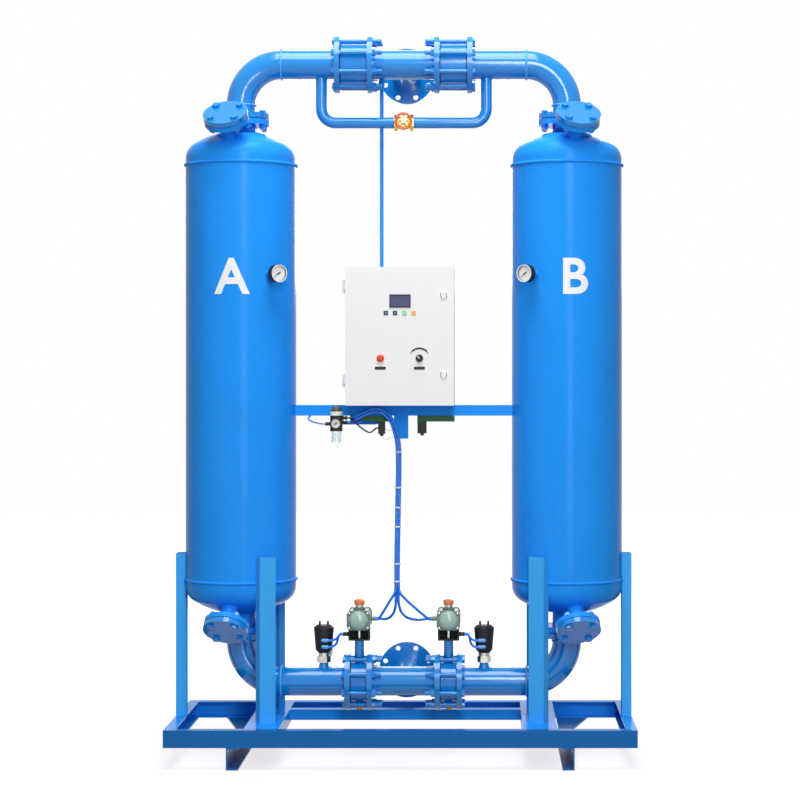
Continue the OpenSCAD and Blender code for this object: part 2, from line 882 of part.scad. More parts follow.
// Push-in tube fitting standing on +Z, its collar at the far end
fitting_d = 14;
fitting_len = 20;

module fitting() {
    cylinder(d = fitting_d - 4, h = fitting_len);
    hexagon(fitting_d - 1, fitting_len * 0.4);
    translate([0, 0, fitting_len * 0.55]) cylinder(d = fitting_d, h = fitting_len * 0.45);
}

// Elbow fitting: out along +Z, then turned to +X
module elbow_fitting() {
    turn_z = 15;
    cylinder(d = fitting_d - 4, h = turn_z);
    hexagon(fitting_d, 7);
    translate([0, 0, turn_z]) sphere(d = fitting_d);
    translate([0, 0, turn_z]) rotate([0, 90, 0]) cylinder(d = fitting_d, h = fitting_len);
}

// Rack housing seen along its length
module housing_outline(inset) {
    intersection() {
        square([actuator_w - 2 * inset, actuator_h - 2 * inset], center = true);
        circle(d = actuator_w + 12 - 2 * inset);
    }
}

fitting_y = 18;
fitting_z = actuator_rise;

module valve_actuators() {
    cap_len = 14;
    plate_len = 10;
    core_len = actuator_len - 2 * (cap_len + plate_len);
    pad_d = 46;
    color("#A9B8AE") both_sides() at_butterfly() difference() {
        union() {
            translate([0, core_len / 2, actuator_rise]) rotate([90, 0, 0])
                linear_extrude(core_len) housing_outline(3);
            for (turn = [0, 180]) rotate([0, 0, turn])
                translate([0, -core_len / 2, actuator_rise]) rotate([90, 0, 0]) {
                    linear_extrude(plate_len) housing_outline(0);
                    translate([0, 0, plate_len]) cylinder(d = end_cap_d, h = cap_len * 0.6);
                    translate([0, 0, plate_len + cap_len * 0.6])
                        cylinder(d1 = end_cap_d, d2 = end_cap_d - 12, h = cap_len * 0.4);
                }
            translate([0, 0, housing_bottom]) cylinder(d = pad_d + 10, h = actuator_h / 2);
            translate([0, 0, actuator_rise]) cylinder(d = pad_d, h = actuator_h / 2 + pad_h);
            for (y = [-fitting_y, fitting_y])
                translate([-actuator_w / 2 + 4, y, fitting_z]) rotate([0, -90, 0]) fitting();
        }
        translate([0, 0, housing_bottom - 1])
            cylinder(d = stem_d + 2 * running, h = actuator_h + pad_h + 2);
    }
}

// Bracket between the valve neck and the actuator, open to the front
module actuator_brackets() {
    width = 80;
    depth = 56;
    wall = 7;
    height = housing_bottom - neck_top;
    color("#3C4238") both_sides() at_butterfly() translate([0, 0, neck_top]) difference() {
        translate([-width / 2, -depth / 2, 0]) cube([width, depth, height]);
        translate([-width / 2 + wall, -depth / 2 - 1, wall])
            cube([width - 2 * wall, depth - wall + 1, height - 2 * wall]);
        translate([0, 0, -1]) cylinder(d = stem_d + 2 * clear, h = height + 2);
    }
    color("#3C4238") both_sides() at_butterfly() for (y = [-12, 12])
        translate([width / 2, y, neck_top + height / 2]) rotate([0, 90, 0]) fitting();
}

// Exhaust valve
hex_af = 44;
hex_h = 24;
bonnet_h = plug_lift;
plug_d = 28;
plug_t = 6;
rod_d = 10;
cup_d = 52;
cup_floor = 16;
head_z = exhaust_seat_z + hex_h + bonnet_h;
outlet_len = 62;
outlet_rise = 18;

module at_exhaust(z) {
    translate([exhaust_x, 0, z]) children();
}

module exhaust_bodies() {
    chamber_d = plug_d + 4;
    floor_h = 8;
    roof_h = 6;
    neck = 40;
    outlet_d = 34;
    color("#A8B0A8") both_sides() at_exhaust(exhaust_seat_z) difference() {
        union() {
            hexagon(hex_af, hex_h);
            cylinder(d = neck, h = hex_h + bonnet_h);
            translate([0, 0, outlet_rise]) rotate([-90, 0, 0]) cylinder(d = outlet_d, h = outlet_len);
        }
        translate([0, 0, -1]) cylinder(d = exhaust_bore, h = floor_h + 2);
        translate([0, 0, floor_h]) cylinder(d = chamber_d, h = hex_h + bonnet_h - roof_h - floor_h);
        cylinder(d = rod_d + 2 * running, h = hex_h + bonnet_h + 1);
        translate([0, 0, outlet_rise]) rotate([-90, 0, 0])
            cylinder(d = exhaust_bore, h = outlet_len + 1);
    }
}

module exhaust_heads() {
    shoulder = 11;
    crown = 10;
    post_d = 8;
    post_h = 14;
    body_h = head_h - crown - post_h;
    ports = [26, 50];
    color(black) both_sides() at_exhaust(head_z) difference() {
        union() {
            cylinder(d1 = head_d * 0.55, d2 = head_d * 0.82, h = shoulder);
            translate([0, 0, shoulder])
                cylinder(d1 = head_d * 0.82, d2 = head_d, h = body_h - shoulder);
            translate([0, 0, body_h]) cylinder(d1 = head_d, d2 = head_d * 0.7, h = crown);
            for (x = [-1, 1]) translate([x * head_d * 0.2, 0, body_h])
                cylinder(d = post_d, h = crown + post_h);
            for (z = ports) translate([0, -head_d * 0.42, z]) rotate([90, 0, 0]) rotate([0, 0, 180])
                elbow_fitting();
        }
        translate([0, 0, -1]) cylinder(d = rod_d + 2 * running, h = cup_floor + 2);
        translate([0, 0, cup_floor]) cylinder(d = cup_d, h = body_h - cup_floor - 4);
    }
}

// Plug, rod and piston in one, shut at rest
module exhaust_plug() {
    floor_h = 8;
    piston_t = 14;
    piston_z = hex_h + bonnet_h + cup_floor + 8;
    color(steel) at_exhaust(exhaust_seat_z) {
        translate([0, 0, floor_h + clear / 2]) cylinder(d = plug_d, h = plug_t);
        translate([0, 0, floor_h + clear / 2]) cylinder(d = rod_d, h = piston_z - floor_h);
        translate([0, 0, piston_z]) cylinder(d = cup_d - 2 * clear, h = piston_t);
    }
}

module exhaust_plug_a() {
    mirror([1, 0, 0]) exhaust_plug();
}

module exhaust_plug_b() {
    exhaust_plug();
}

// Sintered silencers screwed on behind the exhaust valves
module silencers() {
    collar = 16;
    color(steel) both_sides() at_exhaust(exhaust_seat_z + outlet_rise)
        translate([0, outlet_len, 0]) rotate([-90, 0, 0]) difference() {
            union() {
                hexagon(silencer_d * 0.9, collar);
                translate([0, 0, collar]) cylinder(d = silencer_d, h = silencer_len - collar - 8);
                translate([0, 0, silencer_len - 8])
                    cylinder(d1 = silencer_d, d2 = silencer_d - 12, h = 8);
            }
            translate([0, 0, -1]) cylinder(d = exhaust_bore, h = silencer_len - 10);
        }
}

// Beam between the towers that carries the control box, with a hanging valve bracket
module box_stand() {
    plate_w = 54;
    plate_h = 126;
    color(blue) difference() {
        union() {
            translate([0, -angle_b / 2, beam_z]) angle_bar(2 * tower_x, angle_b, angle_t);
            translate([box_x - plate_w / 2, -angle_b / 2 + angle_t - 1, beam_z - plate_h])
                cube([plate_w, angle_t + 1, plate_h - 1]);
        }
        both_sides() translate([tower_x, 0, 0]) cylinder(d = shell_d + 2 * seat, h = big);
    }
}

// Control box, open at the front, with the pinned halves of the door hinges
box_left = box_x - box_w / 2;
hinge_d = 9;
hinge_pin_d = 5;
hinge_len = 47;
hinge_x = box_left - hinge_d / 2 - clear;
hinge_y = box_front + door_t + clear;
hinge_rises = [90, 436];
knuckle_len = 13;
door_gap = 1;
box_mouth = box_front + door_t + door_gap;
leaf_len = 13;

// Pinned half of a hinge about the Z axis, from z = 0
module hinge_pin_half() {
    reach = hinge_d / 2 + clear + box_t / 2;
    cylinder(d = hinge_pin_d, h = hinge_len);
    for (z = [0, hinge_len - knuckle_len]) translate([0, 0, z]) {
        cylinder(d = hinge_d, h = knuckle_len);
        translate([0, clear, 0]) cube([reach, leaf_len, knuckle_len]);
    }
}

module control_box() {
    depth = box_back - box_mouth;
    color("#EFEFF1") {
        difference() {
            translate([box_left, box_mouth, beam_z]) cube([box_w, depth, box_h]);
            translate([box_left + box_t, box_mouth - 1, beam_z + box_t])
                cube([box_w - 2 * box_t, depth - box_t + 1, box_h - 2 * box_t]);
        }
        for (rise = hinge_rises) translate([hinge_x, hinge_y, beam_z + rise - hinge_len / 2])
            hinge_pin_half();
    }
}

// Plate on spacers inside the box, with the power supply, controller and terminal row
module control_plate() {
    margin = 40;
    plate_t = 3;
    spacer = 18;
    plate_y = box_back - box_t - spacer;
    plate_w = box_w - 2 * margin;
    plate_h = box_h - 2 * margin;
    supply = [80, 55, 110];
    controller = [130, 60, 100];
    terminals = [260, 40, 45];
    row_z = 60;
    row_gap = 40;
    terminals_z = -150;
    bite = [0, 1, 0];
    color("#D8D9DA") translate([box_x, plate_y, beam_z + box_h / 2]) {
        translate([-plate_w / 2, -plate_t, -plate_h / 2]) cube([plate_w, plate_t, plate_h]);
        for (x = [-1, 1], z = [-1, 1])
            translate([x * (plate_w / 2 - 15), -1, z * (plate_h / 2 - 15)]) rotate([-90, 0, 0])
                cylinder(d = 12, h = spacer + 1);
        translate([-supply[0] - row_gap, -plate_t - supply[1], row_z]) cube(supply + bite);
        translate([-row_gap / 4, -plate_t - controller[1], row_z]) cube(controller + bite);
        translate([-terminals[0] / 2, -plate_t - terminals[1], terminals_z]) cube(terminals + bite);
    }
}

// Door controls, measured from the middle of the box
lock_x = 162;
lock_rises = [404, 114];
lock_shaft_d = 18;
lamp_x = -70;
selector_x = 73;
selector_shaft_d = 10;
selector_rest = 40;
key_offsets = [-50, -16, 18, 52];

// Children on the door's face at an offset and a height, Z axis out to the front
module on_door(x, rise) {
    translate([box_x + x, box_front, beam_z + rise]) rotate([90, 0, 0]) children();
}

module box_door() {
    leaf_w = hinge_d / 2 + clear + box_t / 2;
    bore = hinge_pin_d + 2 * running;
    middle = hinge_len - 2 * knuckle_len - 2 * clear;
    color("#F2F2F4") difference() {
        union() {
            difference() {
                translate([box_left, box_front, beam_z]) cube([box_w, door_t, box_h]);
                translate([box_left + box_t, box_front + box_t, beam_z + box_t])
                    cube([box_w - 2 * box_t, door_t, box_h - 2 * box_t]);
            }
            for (rise = hinge_rises) translate([hinge_x, hinge_y, beam_z + rise - middle / 2]) {
                cylinder(d = hinge_d, h = middle);
                translate([0, -leaf_len, 0]) cube([leaf_w, leaf_len - clear, middle]);
            }
        }
        for (rise = hinge_rises) translate([hinge_x, hinge_y, beam_z + rise - middle])
            cylinder(d = bore, h = 2 * middle);
        for (rise = lock_rises) on_door(lock_x, rise) translate([0, 0, -door_t])
            cylinder(d = lock_shaft_d + 2 * running, h = 2 * door_t);
        on_door(selector_x, control_rise) translate([0, 0, -door_t])
            cylinder(d = selector_shaft_d + 2 * running, h = 2 * door_t);
    }
}

// Quarter-turn lock with its cam behind the door
module door_lock(rise) {
    face_d = 26;
    face_t = 4;
    shaft_len = door_t + 6;
    cam_len = 22;
    cam_w = 14;
    cam_t = 3;
    slot_w = 3;
    color(steel) on_door(lock_x, rise) difference() {
        union() {
            cylinder(d = face_d, h = face_t);
            translate([0, 0, -shaft_len]) cylinder(d = lock_shaft_d, h = shaft_len);
            translate([0, -cam_w / 2, -shaft_len - cam_t]) cube([cam_len, cam_w, cam_t]);
            translate([0, 0, -shaft_len - cam_t]) cylinder(d = lock_shaft_d, h = cam_t);
        }
        translate([-face_d / 4, -slot_w / 2, face_t - 2]) cube([face_d / 2, slot_w, face_t]);
    }
}

module door_lock_upper() {
    door_lock(lock_rises[0]);
}

module door_lock_lower() {
    door_lock(lock_rises[1]);
}

// Framed display and four flat keys on the door
module display_panel() {
    screen_w = 78;
    screen_h = 48;
    frame_w = 4;
    key_w = 16;
    key_drop = 44;
    key_t = 2;
    rise = box_h - display_drop;
    color("#4A4658") {
        on_door(2, rise) difference() {
            translate([-screen_w / 2, -screen_h / 2, 0]) cube([screen_w, screen_h, 3]);
            translate([-screen_w / 2 + frame_w, -screen_h / 2 + frame_w, 1.5])
                cube([screen_w - 2 * frame_w, screen_h - 2 * frame_w, 3]);
        }
        for (x = key_offsets) on_door(x, rise - key_drop)
            translate([-key_w / 2, -key_w / 2, 0]) cube([key_w, key_w, key_t]);
    }
}

module run_lamp() {
    bezel_h = 4;
    dome_h = 9;
    color("#D02828") on_door(lamp_x, control_rise) {
        cylinder(d = control_d, h = bezel_h);
        translate([0, 0, bezel_h]) cylinder(d = control_d - 4, h = dome_h - 4);
        translate([0, 0, bezel_h + dome_h - 4])
            cylinder(d1 = control_d - 4, d2 = control_d - 12, h = 4);
    }
}

module selector_knob() {
    skirt_h = 4;
    grip_h = 14;
    grip_w = 9;
    color(black) on_door(selector_x, control_rise) {
        translate([0, 0, -door_t]) cylinder(d = selector_shaft_d, h = door_t);
        cylinder(d = control_d, h = skirt_h);
        rotate([0, 0, selector_rest])
            translate([-grip_w / 2, -control_d / 2 + 2, 0]) cube([grip_w, control_d - 4, grip_h]);
    }
}

// Tower gauges
gauge_case_len = 30;
dial_depth = 9;
rim = 3;
pivot_d = 2.4;
needle_t = 1.2;

// Children at the gauge of tower B, Z axis outward from the tower axis
module at_gauge() {
    translate([tower_x, 0, seam_low + gauge_rise]) rotate([0, 0, -gauge_turn])
        rotate([90, 0, 0]) children();
}

// Gauge case about the Z axis with its front at z = 0
module gauge_case(d, length) {
    difference() {
        translate([0, 0, -length]) cylinder(d = d, h = length);
        translate([0, 0, -dial_depth]) cylinder(d = d - 2 * rim, h = dial_depth + 1);
    }
    translate([0, 0, -dial_depth - 1]) cylinder(d = pivot_d, h = dial_depth - 3);
}

// Needle about the Z axis for a dial whose front is at z = 0
module needle(d) {
    tip = d / 2 - rim - 6;
    tail = d * 0.16;
    hub = 6;
    translate([0, 0, -dial_depth + 1.5]) rotate([0, 0, 215]) difference() {
        union() {
            cylinder(d = hub, h = needle_t + 1);
            linear_extrude(needle_t) polygon([[-tail, -1.6], [0, -2], [tip, -0.4], [tip, 0.4],
                [0, 2], [-tail, 1.6]]);
        }
        translate([0, 0, -1]) cylinder(d = pivot_d + 2 * running, h = needle_t + 3);
    }
}

module lens(d) {
    lens_t = 2;
    translate([0, 0, -lens_t - 0.5]) cylinder(d = d - 2 * rim - 2 * seat, h = lens_t);
}

module gauge_cases() {
    front = shell_d / 2 + gauge_reach;
    coupling_d = 28;
    coupling_len = 30;
    stem_af = 14;
    color("#22262A") both_sides() difference() {
        at_gauge() {
            cylinder(d = coupling_d, h = shell_d / 2 + coupling_len);
            translate([0, 0, shell_d / 2]) hexagon(stem_af, gauge_reach - gauge_case_len);
            translate([0, 0, front]) gauge_case(gauge_d, gauge_case_len);
        }
        translate([tower_x, 0, 0]) cylinder(d = shell_d + 2 * seat, h = big);
    }
}

module gauge_needle() {
    color("#202020") translate([0, 0, shell_d / 2 + gauge_reach]) needle(gauge_d);
}

module gauge_needle_a() {
    mirror([1, 0, 0]) at_gauge() mirror([1, 0, 0]) gauge_needle();
}

module gauge_needle_b() {
    at_gauge() gauge_needle();
}

// Filter-regulator on a bracket at the front of the beam
regulator_h = 58;
regulator_gauge_d = 40;
regulator_gauge_len = 20;

module at_regulator() {
    translate([-regulator_x, regulator_y, regulator_z]) children();
}

module at_regulator_gauge() {
    at_regulator() translate([0, -regulator_w / 2 - regulator_gauge_len, 0])
        rotate([90, 0, 0]) children();
}

spring_spindle_d = 8;
knob_d = 34;
collar_d = 48;
collar_h = 15;
collar_gap = 1.2;
feed_rise = 3;
supply_rise = 20;
loop_rise = -2;

module regulator_body() {
    plate_w = 36;
    plate_low = 20;
    plate_high = 60;
    plate_t = -angle_b / 2 - regulator_y - regulator_w / 2;
    corner = 8;
    color("#25282C") difference() {
        union() {
            at_regulator() translate([0, 0, -regulator_h / 2]) intersection() {
                translate([-regulator_w / 2, -regulator_w / 2, 0])
                    cube([regulator_w, regulator_w, regulator_h]);
                cylinder(d = regulator_w * 1.414 - corner, h = regulator_h);
            }
            at_regulator() translate([-plate_w / 2, regulator_w / 2 - 1, -plate_low])
                cube([plate_w, plate_t + 1, plate_low + plate_high]);
            at_regulator_gauge() gauge_case(regulator_gauge_d, regulator_gauge_len + 1);
            at_regulator() translate([0, 0, regulator_h / 2 - 1])
                tube(collar_d, knob_d + 2 * collar_gap, collar_h + 1);
            for (z = [feed_rise, supply_rise]) at_regulator()
                translate([regulator_w / 2 - 1, 0, z]) rotate([0, 90, 0]) fitting();
            at_regulator() translate([-regulator_w / 2 + 1, 0, loop_rise]) rotate([0, -90, 0]) fitting();
        }
        at_regulator() rotate([-90, 0, 0]) cylinder(d = tap_d + 2 * seat, h = regulator_w);
        at_regulator() cylinder(d = spring_spindle_d + 2 * running, h = regulator_h);
    }
}

module regulator_knob() {
    knob_h = 32;
    ribs = 18;
    color(black) at_regulator() {
        translate([0, 0, regulator_h / 2 - 12]) cylinder(d = spring_spindle_d, h = 14);
        translate([0, 0, regulator_h / 2 + clear]) cylinder(d = knob_d - 2, h = knob_h * 0.8);
        translate([0, 0, regulator_h / 2 + clear + knob_h * 0.8])
            cylinder(d1 = knob_d - 2, d2 = knob_d - 12, h = knob_h * 0.2);
        for (i = [0 : ribs - 1]) rotate([0, 0, i * 360 / ribs])
            translate([knob_d / 2 - 2, -1, regulator_h / 2 + clear + 4]) cube([2, 2, knob_h * 0.65]);
    }
}

module regulator_bowl() {
    bowl_d = 38;
    bowl_len = 50;
    wall = 3;
    tip_d = 10;
    tip_len = 16;
    color("#D8E4E8") at_regulator() translate([0, 0, -regulator_h / 2]) mirror([0, 0, 1]) {
        difference() {
            union() {
                cylinder(d = bowl_d, h = bowl_len - 8);
                translate([0, 0, bowl_len - 8]) cylinder(d1 = bowl_d, d2 = bowl_d - 16, h = 8);
            }
            translate([0, 0, -1]) cylinder(d = bowl_d - 2 * wall, h = bowl_len - 8);
        }
        translate([0, 0, bowl_len - 1]) cylinder(d = tip_d, h = tip_len);
    }
}

module regulator_needle() {
    color("#202020") at_regulator_gauge() needle(regulator_gauge_d);
}

module gauge_lenses() {
    color("#DDE8EE") {
        both_sides() at_gauge() translate([0, 0, shell_d / 2 + gauge_reach]) lens(gauge_d);
        at_regulator_gauge() lens(regulator_gauge_d);
    }
}

// Pilot valve under the beam: spool body from x = 0 to length, coil hanging at coil_x
module pilot_valve(length, coil_x, coil_w, coil_h) {
    body_h = 22;
    body_d = 28;
    coil_d = 30;
    front = -angle_b / 2 - 3;
    translate([0, front, -body_h]) cube([length, body_d, body_h]);
    translate([coil_x - coil_w / 2, front - 2, -body_h - coil_h]) cube([coil_w, coil_d, coil_h + 1]);
    translate([coil_x, front + coil_d / 2, -body_h - coil_h - 8]) cylinder(d = 14, h = 9);
}

module pilot_valves() {
    left_x = -200;
    left_len = 148;
    left_coil_x = 117;
    left_coil_w = 26;
    left_coil_h = 46;
    port_x = 15;
    right_x = 50;
    right_len = 140;
    right_coil_x = 18;
    right_coil_w = 34;
    right_coil_h = 44;
    drop = beam_z - angle_b;
    color("#24502E") {
        translate([left_x, 0, drop]) {
            pilot_valve(left_len, left_coil_x, left_coil_w, left_coil_h);
            translate([port_x, -angle_b / 2 - 3, -11]) rotate([90, 0, 0])
                cylinder(d = trunk_d + 2, h = 8);
        }
        translate([right_x, 0, drop])
            pilot_valve(right_len, right_coil_x, right_coil_w, right_coil_h);
    }
}

// Blue air tubes, from the pilot valve down and out to the actuators and exhaust valves
trunk_d = 22;
tube_d = 8;
trunk = [[-185, -31, 1252], [-185, -46, 1252], [-178, -58, 1256], [-150, -62, 1270],
    [-110, -60, 1284], [-72, -56, 1276], [-42, -52, 1240], [-26, -48, 1190], [-19, -46, 1140],
    [-18, -46, 1060], [-20, -45, 960], [-22, -45, 840], [-24, -44, 720], [-24, -44, 622]];
branches = [
    [[-31, -47, 621], [-32, -47, 606], [-48, -44, 578], [-66, -36, 548], [-82, -26, 522],
     [-95, -18, 503], [-107, -18, 503]],
    [[-17, -47, 621], [-14, -47, 606], [10, -44, 577], [40, -36, 549], [70, -26, 522],
     [94, -18, 503], [107, -18, 503]],
    [[-29, -39, 621], [-29, -39, 600], [-29, -36, 575], [-31, -30, 550], [-38, -18, 527],
     [-54, 0, 507], [-76, 14, 499], [-96, 18, 503], [-107, 18, 503]],
    [[-19, -39, 621], [-19, -39, 600], [-19, -36, 575], [-16, -30, 550], [-8, -18, 527],
     [14, -2, 506], [50, 12, 497], [80, 17, 499], [96, 18, 503], [107, 18, 503]]];
exhaust_tubes = [
    [[280, -47, 426], [267, -47, 426], [252, -40, 432], [244, -26, 440], [238, -12, 445],
     [227, -12, 445]],
    [[280, -47, 402], [267, -47, 402], [252, -34, 412], [246, -12, 430], [243, 6, 442],
     [238, 12, 445], [227, 12, 445]]];
supply_hose = [[-208, -47, 1255], [-201, -47, 1255], [-191, -64, 1249], [-178, -74, 1238],
    [-160, -72, 1222], [-142, -58, 1208], [-126, -36, 1201], [-113, -18, 1208],
    [-104, -12, 1216], [-96, -12, 1216]];
feed_tube = [[-208, -47, 1238], [-198, -47, 1238], [-186, -46, 1235], [-172, -41, 1237],
    [-162, -35, 1244], [-159, -31, 1247], [-159, -23, 1247]];
loop_tube = [[-292, -47, 1233], [-304, -47, 1233], [-326, -44, 1237], [-346, -38, 1244],
    [-356, -28, 1251], [-355, -17, 1256], [-349, -10, 1264], [-348, -9, 1276], [-348, -9, 1299]];

// Unit vector along a route at point i
function heading(route, i) =
    let (step = route[min(i + 1, len(route) - 1)] - route[max(i - 1, 0)]) step / norm(step);

// Ring of points round point i of a route
function hoop(route, i, r, sides) =
    let (along = heading(route, i), side = cross(along, [0.6, 0.64, 0.48]),
         u = side / norm(side), v = cross(along, u))
    [for (k = [0 : sides - 1])
        route[i] + r * (cos(360 * k / sides) * u + sin(360 * k / sides) * v)];

// Round hose swept along a route
module hose(route, d, sides) {
    last = len(route) - 1;
    polyhedron(
        points = [for (i = [0 : last]) each hoop(route, i, d / 2, sides)],
        faces = concat(
            [[for (k = [0 : sides - 1]) k]],
            [[for (k = [sides - 1 : -1 : 0]) last * sides + k]],
            [for (i = [0 : last - 1], k = [0 : sides - 1])
                let (a = i * sides, b = a + sides, next = (k + 1) % sides)
                [a + k, b + k, b + next, a + next]]));
}

module air_tubes() {
    color("#2E86E0") {
        hose(trunk, trunk_d, 12);
        for (route = branches) hose(route, tube_d, 8);
        both_sides() for (route = exhaust_tubes) hose(route, tube_d, 8);
        for (route = [supply_hose, feed_tube, loop_tube]) hose(route, tube_d - 2, 8);
    }
}

front_rail();
rear_rail();
end_rails();
cross_members();
middle_rail();
corner_gussets();
runners();
tower_a_vessel();
tower_b_vessel();
tower_legs();
desiccant_beds();
bed_screens();
port_covers();
flange_gaskets();
flange_bolts();
outlet_bend_a();
outlet_bend_b();
outlet_tee();
check_bodies();
check_disc_a();
check_disc_b();
valve_studs();
purge_pipes();
purge_valve_body();
purge_handwheel();
instrument_pipe();
inlet_bend_a();
inlet_bend_b();
inlet_tee();
butterfly_bodies();
butterfly_disc_a();
butterfly_disc_b();
indicator_a();
indicator_b();
valve_actuators();
actuator_brackets();
exhaust_bodies();
exhaust_heads();
exhaust_plug_a();
exhaust_plug_b();
silencers();
box_stand();
control_box();
control_plate();
box_door();
door_lock_upper();
door_lock_lower();
display_panel();
run_lamp();
selector_knob();
gauge_cases();
gauge_needle_a();
gauge_needle_b();
gauge_lenses();
regulator_body();
regulator_bowl();
regulator_knob();
regulator_needle();
pilot_valves();
air_tubes();
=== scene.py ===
"""Looks of a twin-tower desiccant air dryer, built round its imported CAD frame."""

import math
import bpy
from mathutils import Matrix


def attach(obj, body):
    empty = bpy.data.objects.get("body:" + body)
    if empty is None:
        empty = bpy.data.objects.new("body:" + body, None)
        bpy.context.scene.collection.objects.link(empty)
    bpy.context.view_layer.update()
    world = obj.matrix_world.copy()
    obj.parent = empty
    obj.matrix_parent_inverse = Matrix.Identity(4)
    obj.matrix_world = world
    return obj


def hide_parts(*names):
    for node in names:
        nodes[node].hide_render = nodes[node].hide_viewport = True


bl_info = {
    "name": "Twin-tower air dryer",
    "version": (1, 0, 0),
    "blender": (4, 5, 0),
    "location": "View3D > Sidebar > Dryer",
    "description": "Finishes, welds, dials, tubes and stage for the packed air dryer",
    "category": "Object",
}

import bmesh
import bpy
from bpy.props import FloatProperty, FloatVectorProperty, IntProperty, PointerProperty
from mathutils import Matrix, Vector

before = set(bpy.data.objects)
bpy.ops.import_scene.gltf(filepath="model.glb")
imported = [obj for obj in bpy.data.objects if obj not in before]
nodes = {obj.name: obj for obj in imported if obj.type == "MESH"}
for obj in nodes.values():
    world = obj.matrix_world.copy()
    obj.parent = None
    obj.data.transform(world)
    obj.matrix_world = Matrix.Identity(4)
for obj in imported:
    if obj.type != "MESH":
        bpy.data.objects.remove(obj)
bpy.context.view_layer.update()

MM = 0.001
SIDES = (-1, 1)
FAR = 10.0

# Towers and pipes
TOWER_X = 0.610
SHELL_R = 0.206
SEAMS = (0.652, 2.198)
LETTER_Z = 1.777
PIPE_R = 0.054
BEND_R = 0.152
LOW_Z = 0.269
HIGH_Z = 2.576
BOLTS = 8
BOLT_CIRCLE_R = 0.09
STUD_ENDS = ((HIGH_Z, 0.102), (LOW_Z, 0.103))
WHEEL_Y = -0.062
WHEEL_Z = HIGH_Z - 0.217
# Radius of the painted highlight at the handwheel's middle
WHEEL_HIGHLIGHT_R = 0.021

# Valves below
BUTTERFLY_X = 0.167
BUTTERFLY_PLUG_TOP = 0.1738
ACTUATOR_LEN = 0.170
ACTUATOR_Z = LOW_Z + 0.234
CAP_DEPTH = 0.014
DOME_SINK = 0.004
SCREW_X = 0.034
SCREW_Z = 0.027
EXHAUST_LABEL_FRONT = -0.039
EXHAUST_LABEL_Z = (0.392, 0.436)

# Gauges and regulator
GAUGE_Z = 1.785
GAUGE_TURN = math.radians(36)
GAUGE_FACE_R = 0.2731
GAUGE_DIAL_R = 0.0288
BEZEL_R = GAUGE_FACE_R + 0.0065
COUPLING_R = SHELL_R + 0.0305
REGULATOR_DIAL = (-0.250, -0.0800, 1.235)
REGULATOR_DIAL_R = 0.0168
COLLAR_FRONT = -0.0255
COLLAR_Z = (1.264, 1.281)
PILOT_COIL_TOP = 1.2408

# Control box and door
BEAM_Z = 1.303
BOX_X = -0.010
PLATE_Z = BEAM_Z + 0.255
PLATE_FACE = -0.0035
PLATE_REACH = 0.2
DOOR_Y = -0.180
LOCK_X = BOX_X + 0.162
LOCK_FACE = DOOR_Y - 0.004
LOCK_Z = {"upper": BEAM_Z + 0.404, "lower": BEAM_Z + 0.114}
LAMP_X = -0.080
SELECTOR_X = 0.063
SELECTOR_Z = 1.476
SELECTOR_REST = math.radians(40)
SELECTOR_FACE = 0.014
LABEL_HALF = 0.020
LABEL_Z = (1.4345, 1.4455)
WINDOW_X = (-0.043, 0.027)
WINDOW_Z = (1.667, 1.705)
KEY_TOP = 1.66
GREEN_KEY_X = (-0.008, 0.025)
KEY_X = (-0.060, -0.026, 0.008, 0.042)
KEY_Z = 1.642
KEY_FACE = -0.002
KEY_MARK_HALF = 0.0016
FILM = 0.0006
INK = 0.0008


def linear(code):
    """Linear RGBA of a colour written as six hex digits."""
    parts = [int(code[i : i + 2], 16) / 255 for i in (0, 2, 4)]
    levels = [c / 12.92 if c <= 0.04045 else ((c + 0.055) / 1.055) ** 2.4 for c in parts]
    return (*levels, 1.0)


def colour_prop(name, description, code):
    """Colour setting with a default written as hex digits."""
    return FloatVectorProperty(
        name=name, description=description, subtype="COLOR", size=4, min=0, max=1, default=linear(code)
    )


def length_prop(name, description, default):
    """Length setting in metres."""
    return FloatProperty(name=name, description=description, default=default, min=0.0, unit="LENGTH")


class DryerFinish(bpy.types.PropertyGroup):
    """Colours of the dryer."""

    blue: colour_prop("Blue enamel", "Paint of vessels and skid", "2699FC")
    # Painted light: the leg colour is a paler copy of the blue enamel.
    lit_leg_blue: colour_prop("Lit leg enamel", "Paler copy of the blue as painted light on the tower legs", "44B0FA")
    # Painted shade: the pipe colour is a darker copy of the blue enamel, for pipes lit from above.
    shaded_pipe_blue: colour_prop("Shaded pipe enamel", "Darker gloss copy of the blue as painted shade on pipes, valves and covers", "0C88DC")
    # Painted shade: the rail colour is a darker copy of the blue enamel.
    shaded_rail_blue: colour_prop("Shaded rail enamel", "Darker copy of the blue as painted shade on the front rail and runners", "206CB4")
    zinc: colour_prop("Zinc", "Plated studs, nuts and screws", "C2C8CC")
    alloy: colour_prop("Alloy", "Grey-green end caps of the actuators", "A2C0B4")
    box_white: colour_prop("Box white", "Powder coat of the control box", "F3F3F4")
    orange: colour_prop("Indicator orange", "Position caps on the actuators", "F28A55")
    handwheel: colour_prop("Handwheel red", "Purge valve handwheel", "E0683A")
    tube: colour_prop("Tube blue", "Flexible air tubes", "1A7FF0")


class DryerSizes(bpy.types.PropertyGroup):
    """Sizes of what is added to the frame."""

    weld_width: length_prop("Weld width", "Width of a pipe weld bead", 0.0075)
    weld_ripples: IntProperty(
        name="Weld ripples", description="Ripples round a pipe weld", default=64, min=8
    )
    tie_width: length_prop("Tie width", "Width of the ties round the tubes", 0.006)
    letter_height: length_prop("Letter height", "Height of the tower letters", 0.132)
    lens: FloatProperty(name="Lens", description="Camera lens in millimetres", default=97.8, min=1.0)


def finish_of():
    """The colours in use."""
    return bpy.context.scene.dryer_finish


def sizes_of():
    """The added sizes in use."""
    return bpy.context.scene.dryer_sizes


# Node helpers


